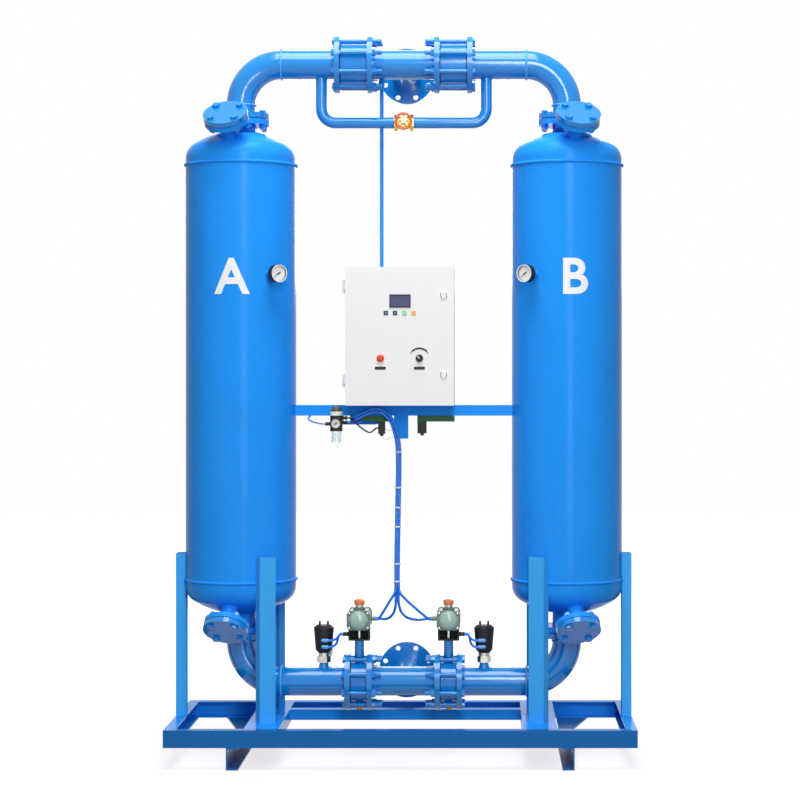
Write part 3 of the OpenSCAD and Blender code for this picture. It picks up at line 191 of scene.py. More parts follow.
def add(tree, kind, links=None, **settings):
    """Node with settings, and its inputs linked or set by name or index."""
    node = tree.nodes.new(kind)
    for key, value in settings.items():
        setattr(node, key, value)
    for key, value in (links or {}).items():
        if isinstance(value, bpy.types.NodeSocket):
            tree.links.new(value, node.inputs[key])
        else:
            node.inputs[key].default_value = value
    return node


def calc(tree, operation, *values):
    """Output of a Math node."""
    return add(tree, "ShaderNodeMath", dict(enumerate(values)), operation=operation).outputs[0]


# Shader groups


def new_group(name, inputs, outputs):
    """Empty shader group with its input and output nodes."""
    tree = bpy.data.node_groups.new(name, "ShaderNodeTree")
    for label, kind, default in inputs:
        socket = tree.interface.new_socket(name=label, in_out="INPUT", socket_type=kind)
        if default is not None:
            socket.default_value = default
    for label, kind in outputs:
        tree.interface.new_socket(name=label, in_out="OUTPUT", socket_type=kind)
    return tree, tree.nodes.new("NodeGroupInput"), tree.nodes.new("NodeGroupOutput")


def soil_group():
    """Paint colour that drifts a little and gathers dirt in soft patches."""
    tree, start, end = new_group(
        "Soiled paint",
        [
            ("Vector", "NodeSocketVector", None),
            ("Paint", "NodeSocketColor", (0.5, 0.5, 0.5, 1)),
            ("Dirt", "NodeSocketColor", (0.1, 0.1, 0.1, 1)),
            ("Scale", "NodeSocketFloat", 6.0),
            ("Amount", "NodeSocketFloat", 0.2),
            ("Gloss", "NodeSocketFloat", 0.3),
        ],
        [("Color", "NodeSocketColor"), ("Roughness", "NodeSocketFloat")],
    )
    get = start.outputs
    cloud = add(tree, "ShaderNodeTexNoise", {"Vector": get["Vector"], "Scale": get["Scale"], "Detail": 5.0})
    speck = add(tree, "ShaderNodeTexNoise", {"Vector": get["Vector"], "Scale": 90.0, "Detail": 2.0})
    patch = add(tree, "ShaderNodeMapRange", {0: cloud.outputs["Fac"], 1: 0.45, 2: 0.8})
    grit = add(tree, "ShaderNodeMapRange", {0: speck.outputs["Fac"], 1: 0.55, 2: 0.75})
    both = calc(tree, "MAXIMUM", patch.outputs[0], grit.outputs[0])
    share = calc(tree, "MULTIPLY", both, get["Amount"])
    mix = add(tree, "ShaderNodeMix", {"Factor": share, 6: get["Paint"], 7: get["Dirt"]}, data_type="RGBA")
    rough = calc(tree, "MULTIPLY_ADD", cloud.outputs["Fac"], 0.16, get["Gloss"])
    tree.links.new(mix.outputs[2], end.inputs["Color"])
    tree.links.new(rough, end.inputs["Roughness"])
    return tree


def relief_group():
    """Height of a fine sprayed or cast skin."""
    tree, start, end = new_group(
        "Sprayed skin",
        [("Vector", "NodeSocketVector", None), ("Scale", "NodeSocketFloat", 300.0)],
        [("Height", "NodeSocketFloat")],
    )
    get = start.outputs
    grain = add(tree, "ShaderNodeTexNoise", {"Vector": get["Vector"], "Scale": get["Scale"], "Detail": 2.0})
    tree.links.new(grain.outputs["Fac"], end.inputs["Height"])
    return tree


def band_group():
    """Mask that is 1 where a value lies between two limits."""
    tree, start, end = new_group(
        "Between",
        [
            ("Value", "NodeSocketFloat", 0.0),
            ("Low", "NodeSocketFloat", 0.0),
            ("High", "NodeSocketFloat", 1.0),
        ],
        [("Mask", "NodeSocketFloat")],
    )
    get = start.outputs
    above = calc(tree, "GREATER_THAN", get["Value"], get["Low"])
    below = calc(tree, "LESS_THAN", get["Value"], get["High"])
    tree.links.new(calc(tree, "MULTIPLY", above, below), end.inputs["Mask"])
    return tree


# Materials


class Coat:
    """Principled material built up from Object coordinates."""

    def __init__(self, name, metallic=0.0, rough=0.4, coat=0.0, specular=0.5):
        self.material = bpy.data.materials.new(name)
        self.material.use_nodes = True
        self.tree = self.material.node_tree
        self.shader = self.tree.nodes["Principled BSDF"]
        self.place = self.tree.nodes.new("ShaderNodeTexCoord").outputs["Object"]
        for key, value in (
            ("Metallic", metallic),
            ("Roughness", rough),
            ("Coat Weight", coat),
            ("Coat Roughness", 0.1),
            ("Specular IOR Level", specular),
        ):
            self.shader.inputs[key].default_value = value

    def group(self, name, builder, values):
        """Shader group of that name, with its inputs linked or set."""
        tree = bpy.data.node_groups.get(name) or builder()
        return add(self.tree, "ShaderNodeGroup", values, node_tree=tree)

    def soiled(self, paint, dirt, amount, gloss, scale):
        """Paint with dirt patches as colour and roughness."""
        values = {"Paint": paint, "Dirt": dirt, "Amount": amount, "Gloss": gloss, "Scale": scale}
        node = self.group("Soiled paint", soil_group, {"Vector": self.place, **values})
        self.tree.links.new(node.outputs["Color"], self.shader.inputs["Base Color"])
        self.tree.links.new(node.outputs["Roughness"], self.shader.inputs["Roughness"])
        return self

    def skin(self, scale, strength):
        """Fine bumps all over."""
        node = self.group("Sprayed skin", relief_group, {"Vector": self.place, "Scale": scale})
        links = {"Strength": strength, "Distance": FILM, "Height": node.outputs["Height"]}
        bump = add(self.tree, "ShaderNodeBump", links)
        self.tree.links.new(bump.outputs["Normal"], self.shader.inputs["Normal"])
        return self

    def axis(self, letter):
        """Coordinate along X, Y or Z."""
        return add(self.tree, "ShaderNodeSeparateXYZ", {"Vector": self.place}).outputs[letter]

    def between(self, value, low, high):
        """Mask that is 1 where the value lies between the limits."""
        return self.group("Between", band_group, {"Value": value, "Low": low, "High": high}).outputs["Mask"]

    def within(self, **limits):
        """Mask of a box given as x, y and z limits."""
        mask = 1.0
        for letter, (low, high) in limits.items():
            mask = calc(self.tree, "MULTIPLY", mask, self.between(self.axis(letter.upper()), low, high))
        return mask

    def gauge_reach(self):
        """Distance from the nearer tower's axis along its gauge's direction."""
        sine, cosine = math.sin(GAUGE_TURN), math.cos(GAUGE_TURN)
        side = calc(self.tree, "ABSOLUTE", self.axis("X"))
        across = calc(self.tree, "MULTIPLY_ADD", side, -sine, TOWER_X * sine)
        return calc(self.tree, "MULTIPLY_ADD", self.axis("Y"), -cosine, across)

    def from_point(self, point):
        """Distance from a point."""
        links = {0: self.place, 1: point}
        return add(self.tree, "ShaderNodeVectorMath", links, operation="DISTANCE").outputs["Value"]

    def patch(self, mask, colour):
        """Another colour where the mask is 1."""
        socket = self.shader.inputs["Base Color"]
        under = socket.links[0].from_socket
        mix = add(self.tree, "ShaderNodeMix", {"Factor": mask, 6: under, 7: colour}, data_type="RGBA")
        self.tree.links.new(mix.outputs[2], socket)
        return self


def darker(paint, share):
    """Colour at a share of its light."""
    return (*(c * share for c in paint[:3]), 1.0)


def enamel(name, paint, amount=0.12, gloss=0.12, specular=0.05):
    """Sprayed paint on steel."""
    coat = Coat(name, specular=specular)
    return coat.soiled(paint, darker(paint, 0.35), amount, gloss, 5.0).skin(240.0, 0.06)


def plastic(name, paint, gloss=0.35, coat=0.0, specular=0.25):
    """Moulded plastic or rubber."""
    made = Coat(name, coat=coat, specular=specular)
    return made.soiled(paint, darker(paint, 0.6), 0.15, gloss, 20.0).skin(700.0, 0.08)


def bare_metal(name, paint, gloss=0.22):
    """Unpainted or plated metal."""
    coat = Coat(name, metallic=1.0)
    return coat.soiled(paint, darker(paint, 0.45), 0.3, gloss, 25.0).skin(500.0, 0.1)


def clear(name, tint, rough, solid):
    """Clear plastic or glass, thin enough to let the lamps through."""
    coat = Coat(name, rough=rough)
    for key, value in (("Base Color", tint), ("Alpha", solid), ("Transmission Weight", 1.0), ("IOR", 1.4)):
        coat.shader.inputs[key].default_value = value
    return coat


def handwheel_finish(paint):
    """Red enamel with a cream disc at its middle, a painted highlight."""
    coat = enamel("Handwheel enamel", paint, specular=0.4)
    # The cream disc at the wheel's middle is a painted highlight.
    hub_highlight = coat.between(coat.from_point((0, WHEEL_Y, WHEEL_Z)), 0, WHEEL_HIGHLIGHT_R)
    return coat.patch(hub_highlight, linear("F6DCC6"))


def rack_finish(alloy):
    """Dark casting with pale end caps."""
    coat = enamel("Actuator casting", linear("6F8076"), 0.2, 0.2, 0.4)
    cap = ACTUATOR_LEN / 2 - CAP_DEPTH
    for limits in ((cap, FAR), (-FAR, -cap)):
        coat.patch(coat.within(y=limits), alloy)
    return coat


def panel_finish():
    """Grey plate with a dark controller, a pale supply and a green terminal strip."""
    coat = enamel("Plate grey", linear("C8CBCC"), 0.05, 0.4)
    front = (-FAR, PLATE_FACE)
    upper = {"y": front, "z": (PLATE_Z + 0.05, PLATE_Z + PLATE_REACH)}
    coat.patch(coat.within(x=(BOX_X - 0.02, BOX_X + PLATE_REACH), **upper), linear("3B4148"))
    coat.patch(coat.within(x=(BOX_X - PLATE_REACH, BOX_X - 0.03), **upper), linear("A9B0B4"))
    strip = coat.within(y=front, z=(PLATE_Z - PLATE_REACH, PLATE_Z - 0.08))
    return coat.patch(strip, linear("5E8F6A"))


def gauge_finish(black, white, blue):
    """Black case with a white bezel, painted as the reflection of a chrome rim, and a blue coupling."""
    coat = plastic("Gauge case", black)
    reach = coat.gauge_reach()
    # The white bezel is a painted reflection of a chrome rim.
    coat.patch(coat.between(reach, BEZEL_R, FAR), white)
    return coat.patch(coat.between(reach, 0.0, COUPLING_R), blue)


def regulator_finish(black, white):
    """Black body with a white collar."""
    coat = plastic("Regulator black", black)
    return coat.patch(coat.within(z=COLLAR_Z, y=(-FAR, COLLAR_FRONT)), white)


def pilot_finish(black):
    """Green valve bodies with black coils below."""
    coat = plastic("Pilot valve green", linear("1F5A34"), 0.4)
    return coat.patch(coat.within(z=(-FAR, PILOT_COIL_TOP)), black)


def butterfly_finish(paint):
    """Pipe enamel with a yellow plug below."""
    # The butterfly bodies take the darker pipe blue, which is painted shade.
    coat = enamel("Butterfly enamel", paint, 0.1, 0.06, 0.5)
    return coat.patch(coat.within(z=(-FAR, BUTTERFLY_PLUG_TOP)), linear("F2BC22"))


def head_finish(black):
    """Black piston head with a pale blue label."""
    coat = plastic("Exhaust head black", black, 0.4)
    label = coat.within(y=(-FAR, EXHAUST_LABEL_FRONT), z=EXHAUST_LABEL_Z)
    return coat.patch(label, linear("6FB4EC"))


def screen_finish():
    """Dark film with a paler window and dark, green and orange keys."""
    coat = plastic("Display film", linear("3C3A55"), 0.3, specular=0.1)
    keys = (-FAR, KEY_TOP)
    coat.patch(coat.within(z=WINDOW_Z, x=WINDOW_X), linear("565A7C"))
    coat.patch(coat.within(z=keys), linear("34505F"))
    coat.patch(coat.within(z=keys, x=GREEN_KEY_X), linear("86E3A4"))
    return coat.patch(coat.within(z=keys, x=(GREEN_KEY_X[1], FAR)), linear("F3AE72"))


finishes = {}


def make_finishes():
    """Fill the table of finishes."""
    tone = finish_of()
    blue, shaded_pipe_blue, alloy = tuple(tone.blue), tuple(tone.shaded_pipe_blue), tuple(tone.alloy)
    black, white = linear("1B1D1F"), linear("F4F4F2")
    finishes.update(
        blue=enamel("Blue enamel", blue),
        # The pipe finish and the butterfly bodies use the blue darkened as painted shade.
        pipe=enamel("Shaded pipe enamel", shaded_pipe_blue, 0.1, 0.06, 0.5),
        # The leg finish is the blue lightened as painted light.
        leg=enamel("Lit leg enamel", tuple(tone.lit_leg_blue)),
        # The rail finish is the blue darkened as painted shade.
        rail=enamel("Shaded rail enamel", tuple(tone.shaded_rail_blue), 0.2),
        weld=enamel("Weld enamel", linear("4CB0F6"), 0.1, 0.1, 0.5),
        butterfly=butterfly_finish(shaded_pipe_blue),
        handwheel=handwheel_finish(tuple(tone.handwheel)),
        rack=rack_finish(alloy),
        cap=enamel("Actuator cap", alloy, 0.08, 0.12, 0.5),
        olive=enamel("Olive bracket", linear("3A4038"), 0.2, 0.35),
        bronze=enamel("Bronze knob", linear("6B5728"), 0.2, 0.25, 0.4),
        box=enamel("Box powder coat", tuple(tone.box_white), 0.03, 0.35),
        panel=panel_finish(),
        zinc=bare_metal("Zinc plate", tuple(tone.zinc)),
        stainless=bare_metal("Stainless", linear("B4B8BA"), 0.15),
        brass=bare_metal("Brass", linear("D9B45A"), 0.18),
        alloy=bare_metal("Nut steel", linear("B4B6A8"), 0.2),
        sinter=bare_metal("Sintered silencer", linear("B9B2A0"), 0.5),
        alumina=plastic("Alumina beads", linear("E8E2D0"), 0.7),
        gasket=plastic("Gasket", linear("2E3136"), 0.6),
        black=plastic("Black plastic", black),
        selector=plastic("Selector black", black, 0.35),
        tube=plastic("Air tube", tuple(tone.tube), 0.25, 0.3),
        dark_tube=plastic("Dark tube", linear("1D2C6A"), 0.3),
        white=plastic("White plastic", white, 0.3, 0.2),
        letter=plastic("Letter white", linear("F2F6FA"), 0.4),
        wire=plastic("Wire white", linear("E4E6E8"), 0.35),
        lamp=plastic("Lamp red", linear("E2451F"), 0.12, 0.3),
        orange=plastic("Indicator orange", tuple(tone.orange), 0.3, 0.2),
        regulator=regulator_finish(black, white),
        gauge=gauge_finish(black, white, blue),
        pilot=pilot_finish(black),
        head=head_finish(black),
        screen=screen_finish(),
        glass=clear("Clear lens", linear("F4F8FA"), 0.02, 0.06),
        bowl=clear("Clear bowl", linear("DCE8EC"), 0.08, 0.65),
    )


NODE_FINISH = {
    "blue": (
        "rear_rail end_rails cross_members middle_rail tower_a_vessel tower_b_vessel "
        "box_stand instrument_pipe"
    ),
    # The leg finish carries painted light on the tower legs.
    "leg": "tower_legs",
    # The pipe finish carries painted shade on pipes, valves, covers and studs.
    "pipe": (
        "port_covers flange_bolts outlet_bend_a outlet_bend_b outlet_tee check_bodies purge_pipes "
        "valve_studs inlet_bend_a inlet_bend_b inlet_tee"
    ),
    # The rail finish carries painted shade on the rail, gussets and runners.
    "rail": "front_rail corner_gussets runners",
    "butterfly": "butterfly_bodies",
    "white": "door_lock_upper door_lock_lower",
    "stainless": (
        "bed_screens check_disc_a check_disc_b butterfly_disc_a butterfly_disc_b "
        "exhaust_plug_a exhaust_plug_b"
    ),
    "brass": "purge_valve_body",
    "alumina": "desiccant_beds",
    "gasket": "flange_gaskets",
    "handwheel": "purge_handwheel",
    "alloy": "exhaust_bodies",
    "rack": "valve_actuators",
    "olive": "actuator_brackets",
    "head": "exhaust_heads",
    "sinter": "silencers",
    "orange": "indicator_a indicator_b",
    "box": "control_box box_door",
    "panel": "control_plate",
    "screen": "display_panel",
    "lamp": "run_lamp",
    "selector": "selector_knob",
    "black": "gauge_needle_a gauge_needle_b regulator_needle",
    "gauge": "gauge_cases",
    "regulator": "regulator_body",
    "bronze": "regulator_knob",
    "glass": "gauge_lenses",
    "bowl": "regulator_bowl",
    "pilot": "pilot_valves",
    "tube": "air_tubes",
}


class DRYER_OT_finishes(bpy.types.Operator):
    """Make the finishes and put one on every CAD node"""

    bl_idname = "dryer.finishes"
    bl_label = "Finishes"

    def execute(self, context):
        make_finishes()
        for key, names in NODE_FINISH.items():
            for name in names.split():
                mesh = nodes[name].data
                mesh.materials.clear()
                mesh.materials.append(finishes[key].material)
        left = [n for n, o in nodes.items() if not o.data.materials or o.data.materials[0] is None]
        if left:
            raise RuntimeError("no finish on " + ", ".join(left))
        return {"FINISHED"}


# Mesh helpers


def piece(name, mesh, finish, body="dryer"):
    """Object from a finished mesh, riding on a body."""
    mesh.name = name
    if not mesh.materials:
        mesh.materials.append(finishes[finish].material)
    made = bpy.data.objects.new(name, mesh)
    bpy.context.scene.collection.objects.link(made)
    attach(made, body)
    return made


def mesh_from(build):
    """Mesh made by a function that fills a bmesh."""
    bm = bmesh.new()
    build(bm)
    mesh = bpy.data.meshes.new("made")
    bm.to_mesh(mesh)
    bm.free()
    return mesh


def facing(origin, normal):
    """Matrix with Z along a normal and Y as near to straight up as it can be."""
    z = Vector(normal).normalized()
    x = Vector((0, 0, 1)).cross(z).normalized()
    y = z.cross(x)
    turn = Matrix((x, y, z)).transposed().to_4x4()
    return Matrix.Translation(origin) @ turn


# Stage


FRAME_PX = 800
CENTRE_PX = 404
HORIZON_PX = 375
EYE = (0.3, -8.14, 1.415)
AIM = (0, 0, 1.3)
LAMPS = (
    ("Key", (0.9, -6.8, 3.9), (1.6, 2.4), 170.0),
    ("Strip", (1.3, -8.6, 1.5), (1.2, 3.4), 130.0),
    ("Fill", (-4.2, -4.4, 2.2), (3.0, 3.0), 10.0),
    ("Top", (0.0, -1.5, 6.0), (2.4, 4.0), 245.0),
    ("Back", (0.5, 5.5, 3.6), (3.5, 3.5), 150.0),
)
SKY_LIGHT = 0.09
FLOOR_HALF = 14.0
FLOOR_Z = -0.0005
FLOOR_GLOW = {1: 1.0, 2: 3.5, 3: 0.74, 4: 1.0}


class DRYER_OT_stage(bpy.types.Operator):
    """Add the camera at the photograph's view, soft lights and a pale floor"""

    bl_idname = "dryer.stage"
    bl_label = "Stage"

    def execute(self, context):
        scene = context.scene
        scene.view_settings.view_transform = "Standard"
        self.eye(scene)
        self.lamps(scene)
        self.sky(scene)
        self.floor(scene)
        return {"FINISHED"}

    def eye(self, scene):
        camera = bpy.data.cameras.new("View")
        camera.lens = sizes_of().lens
        camera.sensor_width = 36.0
        half = FRAME_PX / 2
        camera.shift_x = (half - CENTRE_PX) / FRAME_PX + EYE[0] / EYE[1] * camera.lens / camera.sensor_width
        camera.shift_y = (HORIZON_PX - half) / FRAME_PX
        camera.clip_end = 100.0
        holder = bpy.data.objects.new("View", camera)
        holder.location = EYE
        holder.rotation_euler = (math.radians(90), 0, 0)
        scene.collection.objects.link(holder)
        scene.camera = holder

    def lamps(self, scene):
        for name, place, size, power in LAMPS:
            lamp = bpy.data.lights.new(name, "AREA")
            lamp.shape = "RECTANGLE"
            lamp.size, lamp.size_y = size
            lamp.energy = power
            holder = bpy.data.objects.new(name, lamp)
            holder.location = place
            toward = Vector(AIM) - Vector(place)
            holder.rotation_euler = toward.to_track_quat("-Z", "Y").to_euler()
            scene.collection.objects.link(holder)

    def seen(self, tree):
        """1 for rays that show the background itself."""
        path = tree.nodes.new("ShaderNodeLightPath").outputs
        first = calc(tree, "MAXIMUM", path["Is Camera Ray"], path["Is Glossy Ray"])
        return calc(tree, "MAXIMUM", first, path["Is Transmission Ray"])

    def sky(self, scene):
        world = bpy.data.worlds.new("Studio")
        scene.world = world
        world.use_nodes = True
        tree = world.node_tree
        level = add(tree, "ShaderNodeMapRange", {0: self.seen(tree), 3: SKY_LIGHT, 4: 1.0})
        shader = tree.nodes["Background"]
        shader.inputs["Color"].default_value = (1, 1, 1, 1)
        tree.links.new(level.outputs[0], shader.inputs["Strength"])

    def floor(self, scene):
        def build(bm):
            bmesh.ops.create_grid(bm, x_segments=1, y_segments=1, size=FLOOR_HALF)
            for v in bm.verts:
                v.co.z = FLOOR_Z

        mesh = mesh_from(build)
        material = bpy.data.materials.new("Pale floor")
        material.use_nodes = True
        tree = material.node_tree
        shader = tree.nodes["Principled BSDF"]
        shader.inputs["Base Color"].default_value = (0.25, 0.25, 0.255, 1)
        shader.inputs["Roughness"].default_value = 0.8
        shader.inputs["Emission Color"].default_value = (1, 1, 1, 1)
        place = add(tree, "ShaderNodeTexCoord")
        reach = add(tree, "ShaderNodeVectorMath", {0: place.outputs["Object"]}, operation="LENGTH")
        fade = add(tree, "ShaderNodeMapRange", {0: reach.outputs["Value"], **FLOOR_GLOW})
        glow = calc(tree, "MULTIPLY", self.seen(tree), fade.outputs[0])
        tree.links.new(glow, shader.inputs["Emission Strength"])
        mesh.materials.append(material)
        ground = bpy.data.objects.new("Floor", mesh)
        scene.collection.objects.link(ground)


# Geometry Nodes helpers


def new_tree(name, inputs):
    """Empty geometry tree that takes points and a finish; gives its socket identifiers."""
    tree = bpy.data.node_groups.new(name, "GeometryNodeTree")
    face = tree.interface
    face.new_socket(name="Geometry", in_out="INPUT", socket_type="NodeSocketGeometry")
    ids = {}
    for label, kind, default in [*inputs, ("Finish", "NodeSocketMaterial", None)]:
        socket = face.new_socket(name=label, in_out="INPUT", socket_type=kind)
        if default is not None:
            socket.default_value = default
        ids[label] = socket.identifier
    face.new_socket(name="Geometry", in_out="OUTPUT", socket_type="NodeSocketGeometry")
    return tree, ids, tree.nodes.new("NodeGroupInput"), tree.nodes.new("NodeGroupOutput")


def place_on_points(tree, start, end, shape):
    """Shape at every point, turned to the point's axis, realized and painted."""
    axis = add(tree, "GeometryNodeInputNamedAttribute", {"Name": "axis"}, data_type="FLOAT_VECTOR")
    turn = add(tree, "FunctionNodeAlignRotationToVector", {"Vector": axis.outputs[0]}, axis="Z")
    links = {"Points": start.outputs["Geometry"], "Instance": shape, "Rotation": turn.outputs[0]}
    put = add(tree, "GeometryNodeInstanceOnPoints", links)
    real = add(tree, "GeometryNodeRealizeInstances", {"Geometry": put.outputs[0]})
    paint = add(
        tree, "GeometryNodeSetMaterial", {"Geometry": real.outputs[0], "Material": start.outputs["Finish"]}
    )
    tree.links.new(paint.outputs[0], end.inputs[0])


def sweep(tree, path, profile, scale=1.0):
    """Mesh of a closed profile along a path, its scale given for each point of the path."""
    links = {"Curve": path, "Profile Curve": profile, "Scale": scale, "Fill Caps": True}
    return add(tree, "GeometryNodeCurveToMesh", links).outputs[0]


def circle(tree, resolution, radius):
    """Round curve about Z."""
    links = {"Resolution": resolution, "Radius": radius}
    return add(tree, "GeometryNodeCurvePrimitiveCircle", links).outputs[0]


def moved(tree, shape, **change):
    """Shape moved by its Translation or Scale."""
    return add(tree, "GeometryNodeTransform", {"Geometry": shape.outputs[0], **change}).outputs[0]


def weld_tree():
    """Rippled bead round a pipe at every point."""
    tree, ids, start, end = new_tree(
        "Weld rings",
        [
            ("Radius", "NodeSocketFloat", 0.05),
            ("Width", "NodeSocketFloat", 0.007),
            ("Ripples", "NodeSocketInt", 60),
        ],
    )
    get = start.outputs
    ring = circle(tree, calc(tree, "MULTIPLY", get["Ripples"], 4.0), get["Radius"])
    index = tree.nodes.new("GeometryNodeInputIndex")
    phase = calc(tree, "MULTIPLY", index.outputs[0], math.pi / 2)
    swell = calc(tree, "MULTIPLY_ADD", calc(tree, "SINE", phase), 0.14, 1.0)
    profile = circle(tree, 8, calc(tree, "MULTIPLY", get["Width"], 0.5))
    place_on_points(tree, start, end, sweep(tree, ring, profile, swell))
    return tree, ids


def screw_tree():
    """Screw head with a rounded top at every point."""
    tree, ids, start, end = new_tree(
        "Screw heads", [("Radius", "NodeSocketFloat", 0.004), ("Height", "NodeSocketFloat", 0.003)]
    )
    get = start.outputs
    shank = add(
        tree,
        "GeometryNodeMeshCylinder",
        {"Vertices": 20, "Radius": get["Radius"], "Depth": get["Height"]},
    )
    top = add(
        tree,
        "GeometryNodeMeshCone",
        {
            "Vertices": 20,
            "Radius Bottom": get["Radius"],
            "Radius Top": calc(tree, "MULTIPLY", get["Radius"], 0.7),
            "Depth": calc(tree, "MULTIPLY", get["Height"], 0.35),
        },
    )
    half = calc(tree, "MULTIPLY", get["Height"], 0.5)
    both = tree.nodes.new("GeometryNodeJoinGeometry")
    for part, rise in ((shank, half), (top, get["Height"])):
        lift = add(tree, "ShaderNodeCombineXYZ", {"Z": rise})
        tree.links.new(moved(tree, part, Translation=lift.outputs[0]), both.inputs[0])
    place_on_points(tree, start, end, both.outputs[0])
    return tree, ids


def thread_tree():
    """Helical thread ridge at every point, along its axis."""
    tree, ids, start, end = new_tree(
        "Stud threads",
        [
            ("Radius", "NodeSocketFloat", 0.008),
            ("Length", "NodeSocketFloat", 0.02),
            ("Pitch", "NodeSocketFloat", 0.002),
        ],
    )
    get = start.outputs
    helix = add(
        tree,
        "GeometryNodeCurveSpiral",
        {
            "Resolution": 14,
            "Rotations": calc(tree, "DIVIDE", get["Length"], get["Pitch"]),
            "Start Radius": get["Radius"],
            "End Radius": get["Radius"],
            "Height": get["Length"],
        },
    )
    profile = circle(tree, 5, calc(tree, "MULTIPLY", get["Pitch"], 0.42))
    place_on_points(tree, start, end, sweep(tree, helix.outputs[0], profile))
    return tree, ids


def dome_tree():
    """Shallow round dome at every point."""
    tree, ids, start, end = new_tree(
        "Domes", [("Radius", "NodeSocketFloat", 0.03), ("Height", "NodeSocketFloat", 0.008)]
    )
    get = start.outputs
    ball = add(tree, "GeometryNodeMeshUVSphere", {"Segments": 48, "Rings": 24, "Radius": 1.0})
    squash = add(tree, "ShaderNodeCombineXYZ", {"X": get["Radius"], "Y": get["Radius"], "Z": get["Height"]})
    place_on_points(tree, start, end, moved(tree, ball, Scale=squash.outputs[0]))
    return tree, ids


def tie_tree():
    """Flat band round a bundle at every point."""
    tree, ids, start, end = new_tree(
        "Tube ties",
        [
            ("Radius", "NodeSocketFloat", 0.012),
            ("Width", "NodeSocketFloat", 0.006),
            ("Thickness", "NodeSocketFloat", 0.0015),
        ],
    )
    get = start.outputs
    ring = circle(tree, 40, get["Radius"])
    strip = add(
        tree,
        "GeometryNodeCurvePrimitiveQuadrilateral",
        {"Width": get["Thickness"], "Height": get["Width"]},
    )
    place_on_points(tree, start, end, sweep(tree, ring, strip.outputs[0]))
    return tree, ids


trees = {}


def grow(name, builder, places, values, finish):
    """Plain mesh grown by a geometry tree from points with axes."""
    if builder not in trees:
        trees[builder] = builder()
    tree, ids = trees[builder]
    mesh = bpy.data.meshes.new(name + "_points")
    mesh.from_pydata([tuple(p) for p, _ in places], [], [])
    axes = mesh.attributes.new("axis", "FLOAT_VECTOR", "POINT")
    for i, (_, axis) in enumerate(places):
        axes.data[i].vector = axis
    seed = bpy.data.objects.new(name + "_points", mesh)
    bpy.context.scene.collection.objects.link(seed)
    step = seed.modifiers.new("Grow", "NODES")
    step.node_group = tree
    for label, value in values.items():
        step[ids[label]] = value
    step[ids["Finish"]] = finishes[finish].material
    grown = seed.evaluated_get(bpy.context.evaluated_depsgraph_get())
    made = bpy.data.meshes.new_from_object(grown)
    bpy.data.objects.remove(seed)
    if not made.polygons:
        raise RuntimeError(name + " grew no faces")
    made.shade_smooth()
    return piece(name, made, finish)


class DRYER_OT_welds(bpy.types.Operator):
    """Add rippled weld beads to the pipe bends and the vessels' seams"""

    bl_idname = "dryer.welds"
    bl_label = "Welds"

    def execute(self, context):
        size = sizes_of()
        pipe = []
        for side in SIDES:
            for level, up in ((HIGH_Z, -1), (LOW_Z, 1)):
                pipe.append(((side * TOWER_X, 0, level + up * BEND_R), (0, 0, 1)))
                pipe.append(((side * (TOWER_X - BEND_R), 0, level), (1, 0, 0)))
        values = {"Radius": PIPE_R, "Width": size.weld_width, "Ripples": size.weld_ripples}
        grow("pipe_welds", weld_tree, pipe, values, "weld")
        seams = [((side * TOWER_X, 0, z), (0, 0, 1)) for side in SIDES for z in SEAMS]
        values = {"Radius": SHELL_R, "Width": 0.011, "Ripples": 190}
        grow("seam_welds", weld_tree, seams, values, "blue")
        return {"FINISHED"}


class DRYER_OT_fasteners(bpy.types.Operator):
    """Add stud threads, and the small screws and domes of the actuators"""

    bl_idname = "dryer.fasteners"
    bl_label = "Fasteners"

    def execute(self, context):
        self.actuator_ends()
        self.threads()
        return {"FINISHED"}

    def actuator_ends(self):
        screws = []
        domes = []
        for side in SIDES:
            x = side * BUTTERFLY_X
            for face in SIDES:
                out = (0, face, 0)
                y = face * (ACTUATOR_LEN / 2 - CAP_DEPTH)
                for dx in (-SCREW_X, SCREW_X):
                    for dz in (-SCREW_Z, SCREW_Z):
                        screws.append(((x + dx, y, ACTUATOR_Z + dz), out))
                domes.append(((x, face * (ACTUATOR_LEN / 2 - DOME_SINK), ACTUATOR_Z), out))
        values = {"Radius": 0.0052, "Height": 0.004}
        grow("actuator_screws", screw_tree, screws, values, "zinc")
        values = {"Radius": 0.0335, "Height": 0.014}
        grow("actuator_domes", dome_tree, domes, values, "cap")

    def threads(self):
        tails = []
        for side in SIDES:
            for level, start in STUD_ENDS:
                for k in range(BOLTS):
                    angle = math.radians(360 / BOLTS * (k + 0.5))
                    y, z = BOLT_CIRCLE_R * math.cos(angle), BOLT_CIRCLE_R * math.sin(angle)
                    tails.append(((side * start, y, level + z), (-side, 0, 0)))
        values = {"Radius": 0.0077, "Length": 0.0205, "Pitch": 0.002}
        grow("stud_threads", thread_tree, tails, values, "pipe")


# Tubes


def smooth_path(points, steps=8):
    """Points on a smooth curve through the given ones."""
    pts = [Vector(p) for p in points]
    pts = [2 * pts[0] - pts[1], *pts, 2 * pts[-1] - pts[-2]]
    path = []
    for a, b, c, d in zip(pts, pts[1:], pts[2:], pts[3:]):
        for k in range(steps):
            t = k / steps
            path.append(
                0.5
                * (
                    2 * b
                    + (c - a) * t
                    + (2 * a - 5 * b + 4 * c - d) * t * t
                    + (3 * b - a - 3 * c + d) * t * t * t
                )
            )
    path.append(pts[-2])
    return path


